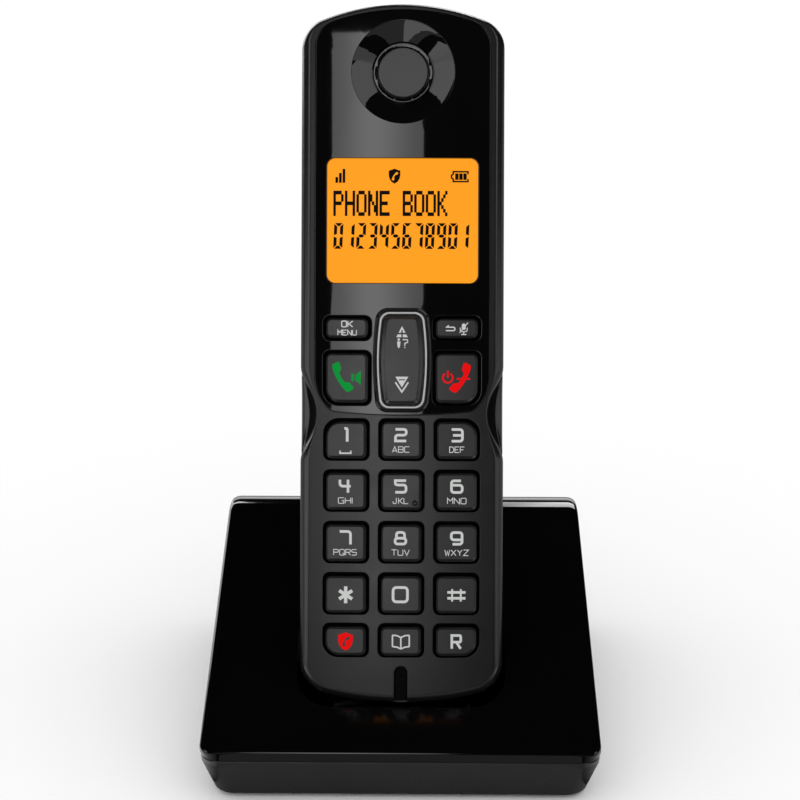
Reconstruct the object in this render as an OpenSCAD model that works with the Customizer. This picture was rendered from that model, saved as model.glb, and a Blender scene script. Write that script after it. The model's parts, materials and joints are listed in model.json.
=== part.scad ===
// A cordless phone standing in its charging base.
// The base rests on z = 0 with its front towards -Y. The handset leans back in a well in the base's top.
// Handset pieces are drawn in a frame of their own, which in_handset() puts in place: x runs across,
// y into the handset from its front face, and z along it from its lower end.

/* [Base] */
// Width of the base
base_w = 91.4; // [91:0.2:96]
// Depth of the base, front to back
base_d = 93.4; // [93.2:0.2:96]
// Height of the base at its front edge
front_h = 13.6; // [13.4:0.1:14]
// Slope of the base's top, in degrees
top_slope = 18.9; // [18.5:0.1:19.5]
// Radius of the rounded ridge along the back
ridge_r = 12; // [10:0.5:13]
// How far the base's sides lean in towards the feet
undercut = 2.6; // [1.5:0.1:3]
// Wall thickness of the base's top shell
base_wall = 2; // [1.6:0.1:2.2]

/* [Handset] */
// Width of the handset
hand_w = 48; // [47.5:0.1:49]
// Length of the handset
hand_l = 165; // [164:0.5:170]
// Thickness of the handset
hand_t = 25; // [25:0.1:25.5]
// How far the handset leans back, in degrees
lean = 20; // [19.5:0.1:20.5]
// Width of the bevel around the handset's front
front_bevel = 2.6; // [2:0.1:2.8]
// Width of the bevel around the handset's back
back_bevel = 4.5; // [4:0.1:5]
// Depth of the waist scooped from each side of the front housing
waist_depth = 3.7; // [3:0.1:3.8]
// Gap between the handset and the sides of its well
well_gap = 0.8; // [0.6:0.1:1]

/* [Display] */
// Width of the display window
window_w = 35.3; // [34:0.1:35.6]
// Height of the display window
window_h = 29.1; // [28:0.1:29.4]

/* [Keys] */
// Width of a number key's opening
key_w = 10.7; // [10:0.1:10.8]
// Height of a number key's opening
key_h = 9.9; // [9:0.1:10]
// Gap between a key and the edge of its opening
key_gap = 0.4; // [0.3:0.05:0.5]
// How far a key stands out of the front face
key_rise = 1.2; // [0.9:0.1:1.3]
// How far a key travels when it is pressed
key_travel = 0.8; // [0.5:0.1:0.8]

/* [Hidden] */
$fn = 48;
eps = 0.01;

// Base
foot_h = 1.2;
foot_r = 4.5;
foot_x = 35;
foot_y = 37.5;
base_floor = 0.8;
seam_h = 11.2;
lower_floor = 2.8;
lower_wall = 4.8;
front_y = -base_d / 2;
back_y = base_d / 2;
ridge_y = back_y - ridge_r;
ridge_z = front_h + (ridge_y - front_y) * tan(top_slope) - ridge_r / cos(top_slope);
screw_spots = [[-36.5, -26], [36.5, -26], [-36.5, 27], [36.5, 27]];
board_z = 9.7;
board_t = 1.6;
board_top = board_z + board_t;
board_y0 = -1;
board_y1 = 41.5;
socket_x = 20;
socket_w = 13;
socket_d = 16;
socket_h = 11.5;
socket_y = back_y - 0.1;
jack_w = 9.7;
jack_h = 6.7;
jack_d = 12;
jack_z = board_top + 3.3;
page_z = 20;
page_r = 4;

// Where the handset's frame sits on the base
seat_y = -32.8;
seat_z = 17.87;
well_floor = -0.6;
well_wall = 2;

// Handset
half_w = hand_w / 2;
seam_y = 9;
shell_t = 2;
inner_back = hand_t - shell_t;
waist_z = 67.7;
waist_half = 10;
face_t = 1.2;
window_z = 112.4;
ear_z = 147.4;
nav_z = 80.06;
nav_axis = 3;
board_front = 6.6;
mat_front = 3.8;
mat_t = 0.8;
cell_r = 5.2;
cell_l = 44.5;
cell_x = 5.6;
cell_y = 18;
cell_z = [38.7, 35.15];
tray_z0 = 33;
tray_z1 = 85.4;
contact_x = 9;
eye_y = 23;
eye_z = -4.6;
hand_bosses = [[-15, 6.5], [15, 6.5], [-16.5, 152], [16.5, 152]];

// Key openings: name, x, z, width, height, corner radii (top right, top left, bottom left, bottom right)
soft_w = 11.1;
soft_h = 5.8;
big_h = 12.8;
low_h = 8;
col = 12.85;
rows = [61.6, 49.7, 37.7, 25.75, 14.9];
r1 = [1, 1, 1, 1];
KEYS = [
    ["key_menu", -12.75, 87.65, soft_w, soft_h, r1],
    ["key_back", 12.75, 87.65, soft_w, soft_h, r1],
    ["key_talk", -12.75, 76.05, soft_w, big_h, [1, 1, 4, 1]],
    ["key_end", 12.75, 76.05, soft_w, big_h, [1, 1, 1, 4]],
    ["key_1", -col, rows[0], key_w, key_h, [1, 3.5, 1, 1]],
    ["key_2", 0, rows[0], key_w, key_h, r1],
    ["key_3", col, rows[0], key_w, key_h, [3.5, 1, 1, 1]],
    ["key_4", -col, rows[1], key_w, key_h, r1],
    ["key_5", 0, rows[1], key_w, key_h, r1],
    ["key_6", col, rows[1], key_w, key_h, r1],
    ["key_7", -col, rows[2], key_w, key_h, r1],
    ["key_8", 0, rows[2], key_w, key_h, r1],
    ["key_9", col, rows[2], key_w, key_h, r1],
    ["key_star", -col, rows[3], key_w, key_h, r1],
    ["key_0", 0, rows[3], key_w, key_h, r1],
    ["key_hash", col, rows[3], key_w, key_h, r1],
    ["key_block", -col, rows[4], key_w, low_h, [1, 1, 3.5, 1]],
    ["key_book", 0, rows[4], key_w, low_h, r1],
    ["key_recall", col, rows[4], key_w, low_h, [1, 1, 1, 3.5]],
];

// Points on an arc about [cx, cy], from angle a0 to a1 in n steps
function arc_points(cx, cy, r, a0, a1, n) =
    [for (i = [0:n]) let (a = a0 + (a1 - a0) * i / n) [cx + r * cos(a), cy + r * sin(a)]];

// Rectangle about the origin, with radii in the order top right, top left, bottom left, bottom right
function box_points(w, h, r) = concat(
    arc_points(w / 2 - r[0], h / 2 - r[0], r[0], 0, 90, 5),
    arc_points(r[1] - w / 2, h / 2 - r[1], r[1], 90, 180, 5),
    arc_points(r[2] - w / 2, r[2] - h / 2, r[2], 180, 270, 5),
    arc_points(w / 2 - r[3], r[3] - h / 2, r[3], 270, 360, 5));

// One bowed end of a long outline: side 1 is the upper end and -1 the lower. It is a broad arc of
// radius big that meets the sides in corners of radius small.
function end_points(hw, z_end, big, small, inset, side) =
    let (cx = hw - small, rise = sqrt(pow(big - small, 2) - cx * cx), a = atan2(rise, cx))
    let (zc = z_end - side * (big - rise), zb = z_end - side * big, turn = side > 0 ? 0 : 180)
    concat(
        arc_points(side * cx, zc, small - inset, turn, turn + a, 5),
        arc_points(0, zb, big - inset, turn + a, turn + 180 - a, 10),
        arc_points(-side * cx, zc, small - inset, turn + 180 - a, turn + 180, 5));

// How far the waist cuts in at t, which runs from -1 at its lower end to 1 at its upper end
function waist_cut(t) = waist_depth * pow(max(0, 1 - t * t), 1.6);
function waist_points(inset, side) =
    [for (i = [-8:8]) let (t = side * i / 8)
        [side * (half_w - inset - waist_cut(t)), waist_z + waist_half * t]];

// The handset's outline, with or without its waist
function hand_points(inset, waist = false) = concat(
    end_points(half_w, hand_l, 52, 7, inset, 1),
    waist ? waist_points(inset, -1) : [],
    end_points(half_w, 0, 75, 8, inset, -1),
    waist ? waist_points(inset, 1) : []);
function fascia_points(inset) = concat(
    end_points(20.35, 161.8, 62, 4, inset, 1), end_points(20.35, 67.5, 150, 6, inset, -1));

// The base's side view, set in by t, from height z0 up
function side_points(t, z0) = concat(
    [[front_y + t, z0], [back_y - t, z0]],
    arc_points(ridge_y, ridge_z, ridge_r - t, 0, 90 + top_slope, 24),
    [[front_y + t, front_h + t * tan(top_slope) - t / cos(top_slope)]]);
function plan_points(t) = box_points(base_w - 2 * t, base_d - 2 * t, [3, 3, 2, 2]);

// Puts its children in the handset's frame
module in_handset() {
    translate([0, seat_y, seat_z]) rotate([-lean, 0, 0]) children();
}

// Extrudes a flat shape drawn in x and z from y0 to y1
module plate(y0, y1) {
    translate([0, y1, 0]) rotate([90, 0, 0]) linear_extrude(y1 - y0) children();
}

// A round rod that runs along y
module rod(x, z, r, y0, y1) {
    translate([x, y1, z]) rotate([90, 0, 0]) cylinder(h = y1 - y0, r = r);
}

// Extrudes a flat shape drawn in y and z across x, about the middle
module across(w) {
    rotate([90, 0, 90]) translate([0, 0, -w / 2]) linear_extrude(w) children();
}

// Block from corner p to corner q
module block(p, q) {
    translate(p) cube(q - p);
}

// Outline with bulging sides, for the navigation key and its ring
module barrel(w, h, bulge, r) {
    offset(r = r) offset(delta = -r) polygon(concat(
        [for (i = [-6:6]) let (t = i / 6) [w / 2 - bulge * t * t, t * h / 2]],
        [for (i = [-6:6]) let (t = -i / 6) [bulge * t * t - w / 2, t * h / 2]]));
}

// ---- Base ----

module base_solid(t, z0) {
    intersection() {
        across(base_w + 2) polygon(side_points(t, z0));
        linear_extrude(80) polygon(plan_points(t));
    }
}

module well_prism(grow, z0) {
    w = hand_w + 2 * grow;
    d = hand_t + 2 * grow;
    in_handset() translate([0, hand_t / 2, z0]) linear_extrude(60) polygon(box_points(w, d, [8, 8, 8, 8]));
}

module contact_slots() {
    for (x = [-contact_x, contact_x])
        in_handset() block([x - 1.6, 12, well_floor - well_wall - 1], [x + 1.6, 21, 1]);
}

module base_top_shell() {
    color([0.05, 0.05, 0.06]) difference() {
        union() {
            difference() {
                base_solid(0, seam_h);
                base_solid(base_wall, seam_h - 1);
            }
            intersection() {
                base_solid(0, 3);
                union() {
                    well_prism(well_gap + well_wall, well_floor - well_wall);
                    for (p = screw_spots) translate([p[0], p[1], 4.5]) cylinder(h = 50, r = 3.2);
                }
            }
        }
        well_prism(well_gap, well_floor);
        contact_slots();
        for (p = screw_spots) translate([p[0], p[1], 3]) cylinder(h = 12, r = 1.25);
        for (x = [-socket_x, socket_x])
            block([x - socket_w / 2 - 0.2, back_y - 3, seam_h - 1], [x + socket_w / 2 + 0.2, back_y + 1, 23]);
        rod(0, page_z, page_r + 0.25, back_y - 3, back_y + 1);
    }
}

module base_lower_housing() {
    color([0.13, 0.13, 0.14]) difference() {
        union() {
            difference() {
                hull() {
                    translate([0, 0, seam_h - eps]) linear_extrude(eps) polygon(plan_points(0));
                    translate([0, 0, base_floor]) linear_extrude(eps) polygon(plan_points(undercut));
                }
                translate([0, 0, lower_floor]) linear_extrude(20) polygon(plan_points(lower_wall));
            }
            for (p = screw_spots) translate([p[0], p[1], lower_floor - eps]) cylinder(h = 1.6, r = 4.4);
            for (x = [-27, 27], y = [3, 38])
                translate([x, y, lower_floor - eps]) cylinder(h = board_z - lower_floor + eps, r = 2);
        }
        for (p = screw_spots) translate([p[0], p[1], 0]) {
            cylinder(h = 6, r = 1.6);
            cylinder(h = 2.4, r = 3);
        }
        for (x = [-foot_x, foot_x], y = [-foot_y, foot_y])
            translate([x, y, 0]) cylinder(h = foot_h, r = foot_r + 0.2);
    }
}

module rubber_feet() {
    color([0.2, 0.2, 0.2]) for (x = [-foot_x, foot_x], y = [-foot_y, foot_y])
        translate([x, y, 0]) cylinder(h = foot_h, r = foot_r);
}

module base_screws() {
    color([0.7, 0.7, 0.72]) for (p = screw_spots) translate([p[0], p[1], 0]) difference() {
        union() {
            translate([0, 0, 0.9]) cylinder(h = 1.5, r = 2.7);
            translate([0, 0, 2.4 - eps]) cylinder(h = 10, r = 1.2);
        }
        for (a = [0, 90]) rotate([0, 0, a]) block([-1.6, -0.3, 0], [1.6, 0.3, 1.5]);
    }
}

module base_circuit_board() {
    color([0.1, 0.4, 0.2]) block([-31, board_y0, board_z], [31, board_y1, board_top]);
}

module base_rf_shield() {
    color([0.75, 0.76, 0.78]) block([-11, 5, board_top], [11, 23, board_top + 2.7]);
}

module base_capacitors() {
    spots = [[-24, 6, 4, 12], [24, 6, 4, 12], [24, 18, 3, 9]];
    color([0.12, 0.16, 0.4]) for (c = spots) translate([c[0], c[1], board_top]) cylinder(h = c[3], r = c[2]);
}

// Modular jack that opens at the back, with a notch for the plug's latch under the mouth
module socket(x) {
    y1 = socket_y;
    z0 = board_top;
    difference() {
        block([x - socket_w / 2, y1 - socket_d, z0], [x + socket_w / 2, y1, z0 + socket_h]);
        block([x - jack_w / 2, y1 - jack_d, jack_z], [x + jack_w / 2, y1 + 1, jack_z + jack_h]);
        block([x - 3, y1 - jack_d, jack_z - 1.2], [x + 3, y1 + 1, jack_z + 1]);
        block([x - 1.7, y1 - jack_d, jack_z - 2.3], [x + 1.7, y1 + 1, jack_z + 1]);
    }
}

module line_socket() {
    color([0.1, 0.1, 0.1]) socket(socket_x);
}

module power_socket() {
    color([0.25, 0.25, 0.26]) socket(-socket_x);
}

module socket_contacts() {
    y0 = socket_y - jack_d;
    z1 = jack_z + jack_h;
    color("gold") for (x = [-socket_x, socket_x], i = [-1.5:1:1.5]) translate([x + i * 1.1, 0, 0]) across(0.5)
        polygon([[y0, z1 - 1.4], [y0 + 9, z1 - 0.6], [y0 + 9, z1 - 0.2], [y0, z1 - 1]]);
}

module page_switch() {
    color([0.15, 0.15, 0.15]) block([-3.5, back_y - 12.7, board_top], [3.5, back_y - 6.9, 24]);
}

module page_button() {
    color([0.16, 0.16, 0.17]) {
        rod(0, page_z, page_r, back_y - 5.7, back_y - 0.1);
        rod(0, page_z, page_r + 1, back_y - 3.5, back_y - 2.2);
    }
}

module contact_holder() {
    color([0.85, 0.85, 0.82]) in_handset() {
        difference() {
            block([-13, 21.5, -6.4], [13, 25.5, well_floor - well_wall]);
            for (x = [-contact_x, contact_x]) block([x - 1.5, 21, -5.9], [x + 1.5, 26, 0]);
        }
        for (x = [-contact_x, contact_x]) translate([x, eye_y, eye_z]) across(4) circle(r = 0.55);
    }
}

// Spring strip that rises through the well's floor, and turns on the peg in its eye
module charge_contact(x) {
    color([0.8, 0.8, 0.8]) in_handset() translate([x, 0, 0]) across(2.4) difference() {
        union() {
            polygon([
                [23, -3.6], [20, -3.6], [17.6, 0.45], [16.6, 0.8], [15.6, 0.45], [13.4, -3.4],
                [13.75, -3.6], [16, 0.1], [16.6, 0.35], [17.2, 0.1], [19.8, -4.05], [23, -4.05],
            ]);
            translate([eye_y, eye_z]) circle(r = 1.1);
        }
        translate([eye_y, eye_z]) circle(r = 0.6);
    }
}

module charge_contact_left() {
    charge_contact(-contact_x);
}

module charge_contact_right() {
    charge_contact(contact_x);
}

// ---- Handset ----

module key_hole(k, grow) {
    translate([k[1], k[2]])
        polygon(box_points(k[3] + 2 * grow, k[4] + 2 * grow, [for (r = k[5]) max(0.3, r + grow)]));
}

module mic_slot() {
    plate(-1, 1.2) {
        translate([0, 7.45]) circle(r = 1.55);
        translate([-1.55, -1]) square([3.1, 8.45]);
    }
}

module waist_notches(grow, y0, y1) {
    for (s = [-1, 1]) plate(y0, y1) polygon(concat(
        [for (i = [-8:8]) let (t = i / 8) [s * (half_w - waist_cut(t) + grow), waist_z + waist_half * t]],
        [[s * (half_w + 1 + grow), waist_z + waist_half], [s * (half_w + 1 + grow), waist_z - waist_half]]));
}

module front_housing() {
    color([0.2, 0.2, 0.21]) in_handset() difference() {
        union() {
            difference() {
                hull() {
                    plate(0, eps) polygon(hand_points(front_bevel));
                    plate(3.4, seam_y) polygon(hand_points(0));
                }
                intersection() {
                    hull() {
                        plate(shell_t, shell_t + eps) polygon(hand_points(front_bevel + 1.8));
                        plate(4.6, seam_y + 0.1) polygon(hand_points(shell_t));
                    }
                    plate(1, seam_y + 1) polygon(hand_points(shell_t, true));
                }
            }
            for (b = hand_bosses) rod(b[0], b[1], 2.3, shell_t - 0.5, seam_y);
        }
        waist_notches(0, -1, seam_y + 1);
        plate(-1, face_t) polygon(fascia_points(-0.1));
        plate(-1, 3) translate([0, window_z]) square([window_w - 1.8, window_h - 1.6], center = true);
        plate(-1, 3) for (k = KEYS) key_hole(k, 0);
        plate(-1, 3) translate([0, nav_z]) barrel(10.7, 21.7, 0.9, 1.5);
        rod(0, ear_z, 13.3, -1, 3);
        mic_slot();
        rod(0, 6.6, 0.6, 0, 3);
        for (b = hand_bosses) rod(b[0], b[1], 1, 4, seam_y + 1);
    }
}

module battery_hole(grow, y0, y1) {
    w = 34 + 2 * grow;
    h = 54.2 + 2 * grow;
    plate(y0, y1) translate([0, 59]) polygon(box_points(w, h, [2, 2, 2, 2]));
}

module rear_housing() {
    color([0.06, 0.06, 0.07]) in_handset() difference() {
        union() {
            difference() {
                hull() {
                    plate(seam_y, 19) polygon(hand_points(0));
                    plate(hand_t - eps, hand_t) polygon(hand_points(back_bevel));
                }
                hull() {
                    plate(seam_y - 0.1, 18) polygon(hand_points(shell_t));
                    plate(inner_back - eps, inner_back) polygon(hand_points(back_bevel + shell_t));
                }
            }
            intersection() {
                waist_notches(0.2, 4.5, seam_y + eps);
                plate(4, 10) polygon(hand_points(0));
            }
            for (b = hand_bosses) rod(b[0], b[1], 3.3, seam_y + 0.1, 23.5);
        }
        battery_hole(0, 22, 26);
        for (b = hand_bosses) {
            rod(b[0], b[1], 1.4, seam_y - 1, 20);
            rod(b[0], b[1], 2.4, 18.4, 26);
        }
        for (i = [-3:3]) plate(22, 26) translate([0, window_z + i * 2.2]) square([16, 1], center = true);
        for (x = [-contact_x, contact_x]) block([x - 2.3, 12.7, -1], [x + 2.3, 19.3, 3]);
    }
}

module fascia() {
    color([0.02, 0.02, 0.02]) in_handset() difference() {
        union() {
            plate(0, face_t) polygon(fascia_points(0));
            rod(0, ear_z, 13, 0, 3);
        }
        plate(-1, 2) translate([0, window_z]) polygon(box_points(window_w, window_h, [1.5, 1.5, 1.5, 1.5]));
        plate(-1, 2) for (i = [0:3]) key_hole(KEYS[i], 0);
        plate(-1, 2) translate([0, nav_z]) barrel(13, 24.5, 0.9, 2);
        translate([0, 1.8, ear_z]) rotate([90, 0, 0]) cylinder(h = 1.8 + eps, r1 = 7.3, r2 = 12);
        rod(0, ear_z, 6, -1, 4);
    }
}

module display_lens() {
    color([1, 0.6, 0.1]) in_handset() plate(0.05, face_t) translate([0, window_z])
        polygon(box_points(window_w - 0.2, window_h - 0.2, [1.4, 1.4, 1.4, 1.4]));
}

module lcd_glass() {
    color([0.9, 0.55, 0.15]) in_handset() plate(2.1, 4) translate([0, window_z])
        square([window_w + 2.7, window_h + 3.9], center = true);
}

module backlight() {
    color("white") in_handset() plate(4.1, 5.7) translate([0, window_z])
        square([window_w + 0.7, window_h + 1.9], center = true);
}

module nav_ring() {
    color([0.8, 0.8, 0.82]) in_handset() plate(-0.5, face_t) translate([0, nav_z]) difference() {
        barrel(11.8, 22.8, 0.9, 2);
        barrel(10.7, 21.7, 0.9, 1.5);
    }
}

module nav_rocker() {
    color([0.25, 0.25, 0.26]) in_handset() {
        plate(-key_rise, 2.2) translate([0, nav_z]) barrel(9.9, 20.9, 0.9, 1.3);
        block([-3, 2.2 - eps, nav_z - 0.4], [3, nav_axis, nav_z + 0.4]);
        translate([0, nav_axis, nav_z]) across(6) circle(r = 0.7);
        for (s = [-1, 1]) rod(0, nav_z + s * 7, 1.5, 2.2 - eps, 5);
    }
}

module ear_cap() {
    color([0.2, 0.2, 0.21]) in_handset() {
        rod(0, ear_z, 5.7, 0.7, 3);
        rod(0, ear_z, 7.5, 3, 3.6);
    }
}

module ear_speaker() {
    color([0.3, 0.3, 0.32]) in_handset() difference() {
        rod(0, ear_z, 9, 3.7, 8);
        rod(0, ear_z, 7.5, 3, 4.2);
    }
}

// Key cap with a flange that stops it behind the front wall, and a stem that reaches for its dome
module key(k) {
    color([0.27, 0.27, 0.28]) in_handset() {
        plate(-key_rise, shell_t + 0.2) key_hole(k, -key_gap);
        plate(shell_t + 0.2, 3) key_hole(k, 0.5);
        rod(k[1], k[2], 1.5, 3, 5.2);
        if (k[0] == "key_5")
            translate([k[1] + 3.4, -key_rise, k[2] - 2.75]) sphere(r = 0.45);
    }
}

module keypad_mat() {
    color([0.6, 0.6, 0.62]) in_handset() difference() {
        plate(mat_front, mat_front + mat_t) translate([-17.5, 9.5]) square([35, 83.5]);
        for (k = KEYS) rod(k[1], k[2], 2.2, mat_front - 1, mat_front + mat_t + 1);
        for (s = [-1, 1]) rod(0, nav_z + s * 7, 2.2, mat_front - 1, mat_front + mat_t + 1);
    }
}

module key_domes() {
    color([0.8, 0.8, 0.75]) in_handset() {
        for (k = KEYS) rod(k[1], k[2], 2, board_front - 0.25, board_front);
        for (s = [-1, 1]) rod(0, nav_z + s * 7, 2, board_front - 0.25, board_front);
    }
}

module handset_circuit_board() {
    color([0.1, 0.4, 0.2]) in_handset() block([-16, board_front, 12], [16, board_front + 1, 130]);
}

module handset_rf_shield() {
    color([0.75, 0.76, 0.78]) in_handset() block([-12, board_front + 1, 94], [12, board_front + 3.2, 122]);
}

module microphone() {
    color([0.5, 0.5, 0.5]) in_handset() rod(0, 6.6, 2.5, 3.2, 6);
}

module loudspeaker() {
    color([0.3, 0.3, 0.32]) in_handset() rod(0, window_z, 10, 18, 22.9);
}

module battery_tray() {
    color([0.12, 0.12, 0.12]) in_handset() difference() {
        block([-16.4, 11.9, tray_z0], [16.4, 23.3, tray_z1]);
        block([-15.4, 12.7, tray_z0 + 1], [15.4, 24, tray_z1 - 1]);
    }
}

// Round cell with its button end up, or down when it is flipped
module battery_cell(x, z, flipped) {
    color([0.1, 0.45, 0.25]) in_handset() translate([x, cell_y, z + cell_l / 2])
        mirror([0, 0, flipped ? 1 : 0]) translate([0, 0, -cell_l / 2]) {
            cylinder(h = cell_l - 0.8, r = cell_r);
            translate([0, 0, cell_l - 0.8]) cylinder(h = 0.8, r = 1.9);
        }
}

module battery_cell_left() {
    battery_cell(-cell_x, cell_z[0], false);
}

module battery_cell_right() {
    battery_cell(cell_x, cell_z[1], true);
}

// Coiled wire about z, from radius r_low up to radius r_high, closed at both ends
module coil(r_low, r_high, wire, height, turns) {
    sides = 6;
    steps = turns * 12;
    points = [for (i = [0:steps], j = [0:sides - 1])
        let (t = i / steps, a = 360 * turns * t, b = 360 * j / sides, r = r_low + (r_high - r_low) * t)
        [(r + wire * cos(b)) * cos(a), (r + wire * cos(b)) * sin(a), height * t + wire * sin(b)]];
    walls = [for (i = [0:steps - 1], j = [0:sides - 1]) let (n = (j + 1) % sides)
        [i * sides + j, (i + 1) * sides + j, (i + 1) * sides + n, i * sides + n]];
    ends = [[for (j = [0:sides - 1]) j], [for (j = [sides - 1:-1:0]) steps * sides + j]];
    polyhedron(points, concat(walls, ends));
}

module battery_springs() {
    color("silver") in_handset() {
        translate([-cell_x, cell_y, tray_z0 + 1.35]) coil(4, 2.6, 0.3, 4, 4);
        translate([cell_x, cell_y, tray_z1 - 1.35]) mirror([0, 0, 1]) coil(4, 2.6, 0.3, 4, 4);
    }
}

module battery_terminals() {
    color("silver") in_handset() {
        high = cell_z[0] + cell_l + 0.05;
        low = cell_z[1] - 0.05;
        block([-cell_x - 4, 14, high], [-cell_x + 4, 22, high + 0.4]);
        block([-cell_x - 1, 17, high + 0.3], [-cell_x + 1, 19, tray_z1 - 1]);
        block([cell_x - 4, 14, low - 0.4], [cell_x + 4, 22, low]);
        block([cell_x - 1, 17, tray_z0 + 1], [cell_x + 1, 19, low - 0.3]);
    }
}

module charging_pads() {
    color([0.8, 0.8, 0.8]) in_handset() for (x = [-contact_x, contact_x])
        block([x - 2.2, 12.8, 0.9], [x + 2.2, 19.2, 2.9]);
}

module handset_screws() {
    color([0.7, 0.7, 0.72]) in_handset() for (b = hand_bosses) {
        difference() {
            rod(b[0], b[1], 2, 18.4, 20);
            for (w = [[1.2, 0.25], [0.25, 1.2]])
                block([b[0] - w[0], 19.4, b[1] - w[1]], [b[0] + w[0], 21, b[1] + w[1]]);
        }
        rod(b[0], b[1], 0.95, 5, 18.4 + eps);
    }
}

module battery_door() {
    color([0.06, 0.06, 0.07]) in_handset() difference() {
        battery_hole(-0.25, 23.4, hand_t);
        for (i = [0:3]) block([-5, hand_t - 0.4, 76 + i * 1.6], [5, hand_t + 1, 76.8 + i * 1.6]);
    }
}

base_top_shell();
base_lower_housing();
rubber_feet();
base_screws();
base_circuit_board();
base_rf_shield();
base_capacitors();
line_socket();
power_socket();
socket_contacts();
page_switch();
page_button();
contact_holder();
charge_contact_left();
charge_contact_right();
front_housing();
rear_housing();
fascia();
display_lens();
lcd_glass();
backlight();
nav_ring();
ear_cap();
ear_speaker();
keypad_mat();
key_domes();
handset_circuit_board();
handset_rf_shield();
microphone();
loudspeaker();
battery_tray();
battery_cell_left();
battery_cell_right();
battery_springs();
battery_terminals();
charging_pads();
handset_screws();
battery_door();
nav_rocker();
for (k = KEYS) key(k);
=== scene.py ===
import json
import math

import bmesh
import bpy
import numpy as np
from mathutils import Matrix, Vector
from mathutils.geometry import delaunay_2d_cdt


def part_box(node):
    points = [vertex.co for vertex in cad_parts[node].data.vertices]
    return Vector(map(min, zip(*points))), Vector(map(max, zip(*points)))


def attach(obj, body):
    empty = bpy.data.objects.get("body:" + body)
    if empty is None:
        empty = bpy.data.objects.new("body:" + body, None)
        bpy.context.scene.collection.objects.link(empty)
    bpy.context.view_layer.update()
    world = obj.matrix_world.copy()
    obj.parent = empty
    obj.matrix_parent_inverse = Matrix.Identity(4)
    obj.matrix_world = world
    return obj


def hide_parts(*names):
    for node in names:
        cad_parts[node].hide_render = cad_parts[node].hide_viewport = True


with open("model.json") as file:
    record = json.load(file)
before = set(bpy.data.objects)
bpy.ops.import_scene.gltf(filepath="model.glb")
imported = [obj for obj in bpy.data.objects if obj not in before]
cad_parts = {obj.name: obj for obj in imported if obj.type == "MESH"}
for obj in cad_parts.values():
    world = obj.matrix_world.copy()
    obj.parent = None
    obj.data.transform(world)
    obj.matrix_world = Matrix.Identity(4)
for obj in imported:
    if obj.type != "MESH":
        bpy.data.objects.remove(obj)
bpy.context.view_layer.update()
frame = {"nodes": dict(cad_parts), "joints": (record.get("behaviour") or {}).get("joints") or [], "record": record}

MM = 0.001
JOINTS = {j["name"]: j for j in frame["joints"]}
SLOTS = {s["node"]: s["material_slot"] for s in frame["record"]["subparts"]}

# ---- The two frames that pieces are drawn in ----

ACROSS = Vector((1, 0, 0))
ALONG = Vector(JOINTS["handset_lift"]["axis"]).normalized()
INTO = Vector(JOINTS["battery_door_slide"]["axis"]).normalized()


def reach(node, axis):
    """Lowest and highest place of a node along an axis, in metres."""
    places = [v.co.dot(axis) for v in frame["nodes"][node].data.vertices]
    return min(places), max(places)


HOME = INTO * reach("front_housing", INTO)[0] + ALONG * reach("front_housing", ALONG)[0]
TURN = Matrix((ACROSS, INTO, ALONG)).transposed().to_4x4()
HAND = Matrix.Translation(HOME) @ TURN @ Matrix.Scale(MM, 4)
BASE = Matrix.Scale(MM, 4)


def hand_box(node):
    """A node's lowest and highest corners in the handset's frame."""
    spans = [reach(node, axis) for axis in (ACROSS, INTO, ALONG)]
    start = (0, HOME.dot(INTO), HOME.dot(ALONG))
    low = [(s[0] - o) / MM for s, o in zip(spans, start)]
    high = [(s[1] - o) / MM for s, o in zip(spans, start)]
    return Vector(low), Vector(high)


def base_box(node):
    low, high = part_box(node)
    return low / MM, high / MM


# The handset's front bows back by CROWN at CROWN_HALF from its middle. The bow fades out at CROWN_FOOT.
CROWN = 0.5
CROWN_HALF = 24
CROWN_FOOT = 3.0
CROWN_FADE = 1.5
WIDE = 12 * MM


def crowned(shape):
    """Bows the handset's front across its width, fading out inside the shell."""
    strips = [Vector((x * MM, 0, 0)) for x in range(-22, 23, 2)]
    to_hand = HAND.inverted()
    front = [v.co.x for v in shape.verts if (to_hand @ v.co).y < CROWN_FOOT]
    wide = bool(front) and max(front) - min(front) > WIDE
    for place in strips if wide else []:
        everything = shape.verts[:] + shape.edges[:] + shape.faces[:]
        bmesh.ops.bisect_plane(shape, geom=everything, dist=1e-7, plane_co=place, plane_no=ACROSS)
    for v in shape.verts:
        x, y, _ = to_hand @ v.co
        share = min(1.0, max(0.0, (CROWN_FOOT - y) / CROWN_FADE))
        v.co += INTO * (CROWN * (x / CROWN_HALF) ** 2 * share * MM)


# ---- Flat outlines: lists of points, counterclockwise ----

def arc(cx, cz, r, start, end, steps):
    turns = [math.radians(start + (end - start) * i / steps) for i in range(steps + 1)]
    return [(cx + r * math.cos(a), cz + r * math.sin(a)) for a in turns]


def without_repeats(loop):
    return [p for i, p in enumerate(loop) if math.dist(p, loop[i - 1]) > 1e-4]


def circle(cx, cz, r, steps=64):
    return arc(cx, cz, r, 0, 360, steps)[:-1]


def rounded_box(x0, x1, z0, z1, radii, steps=8):
    """Radii in the order top right, top left, bottom left, bottom right."""
    a, b, c, d = radii
    return without_repeats(
        arc(x1 - a, z1 - a, a, 0, 90, steps) + arc(x0 + b, z1 - b, b, 90, 180, steps)
        + arc(x0 + c, z0 + c, c, 180, 270, steps) + arc(x1 - d, z0 + d, d, 270, 360, steps))


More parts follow.
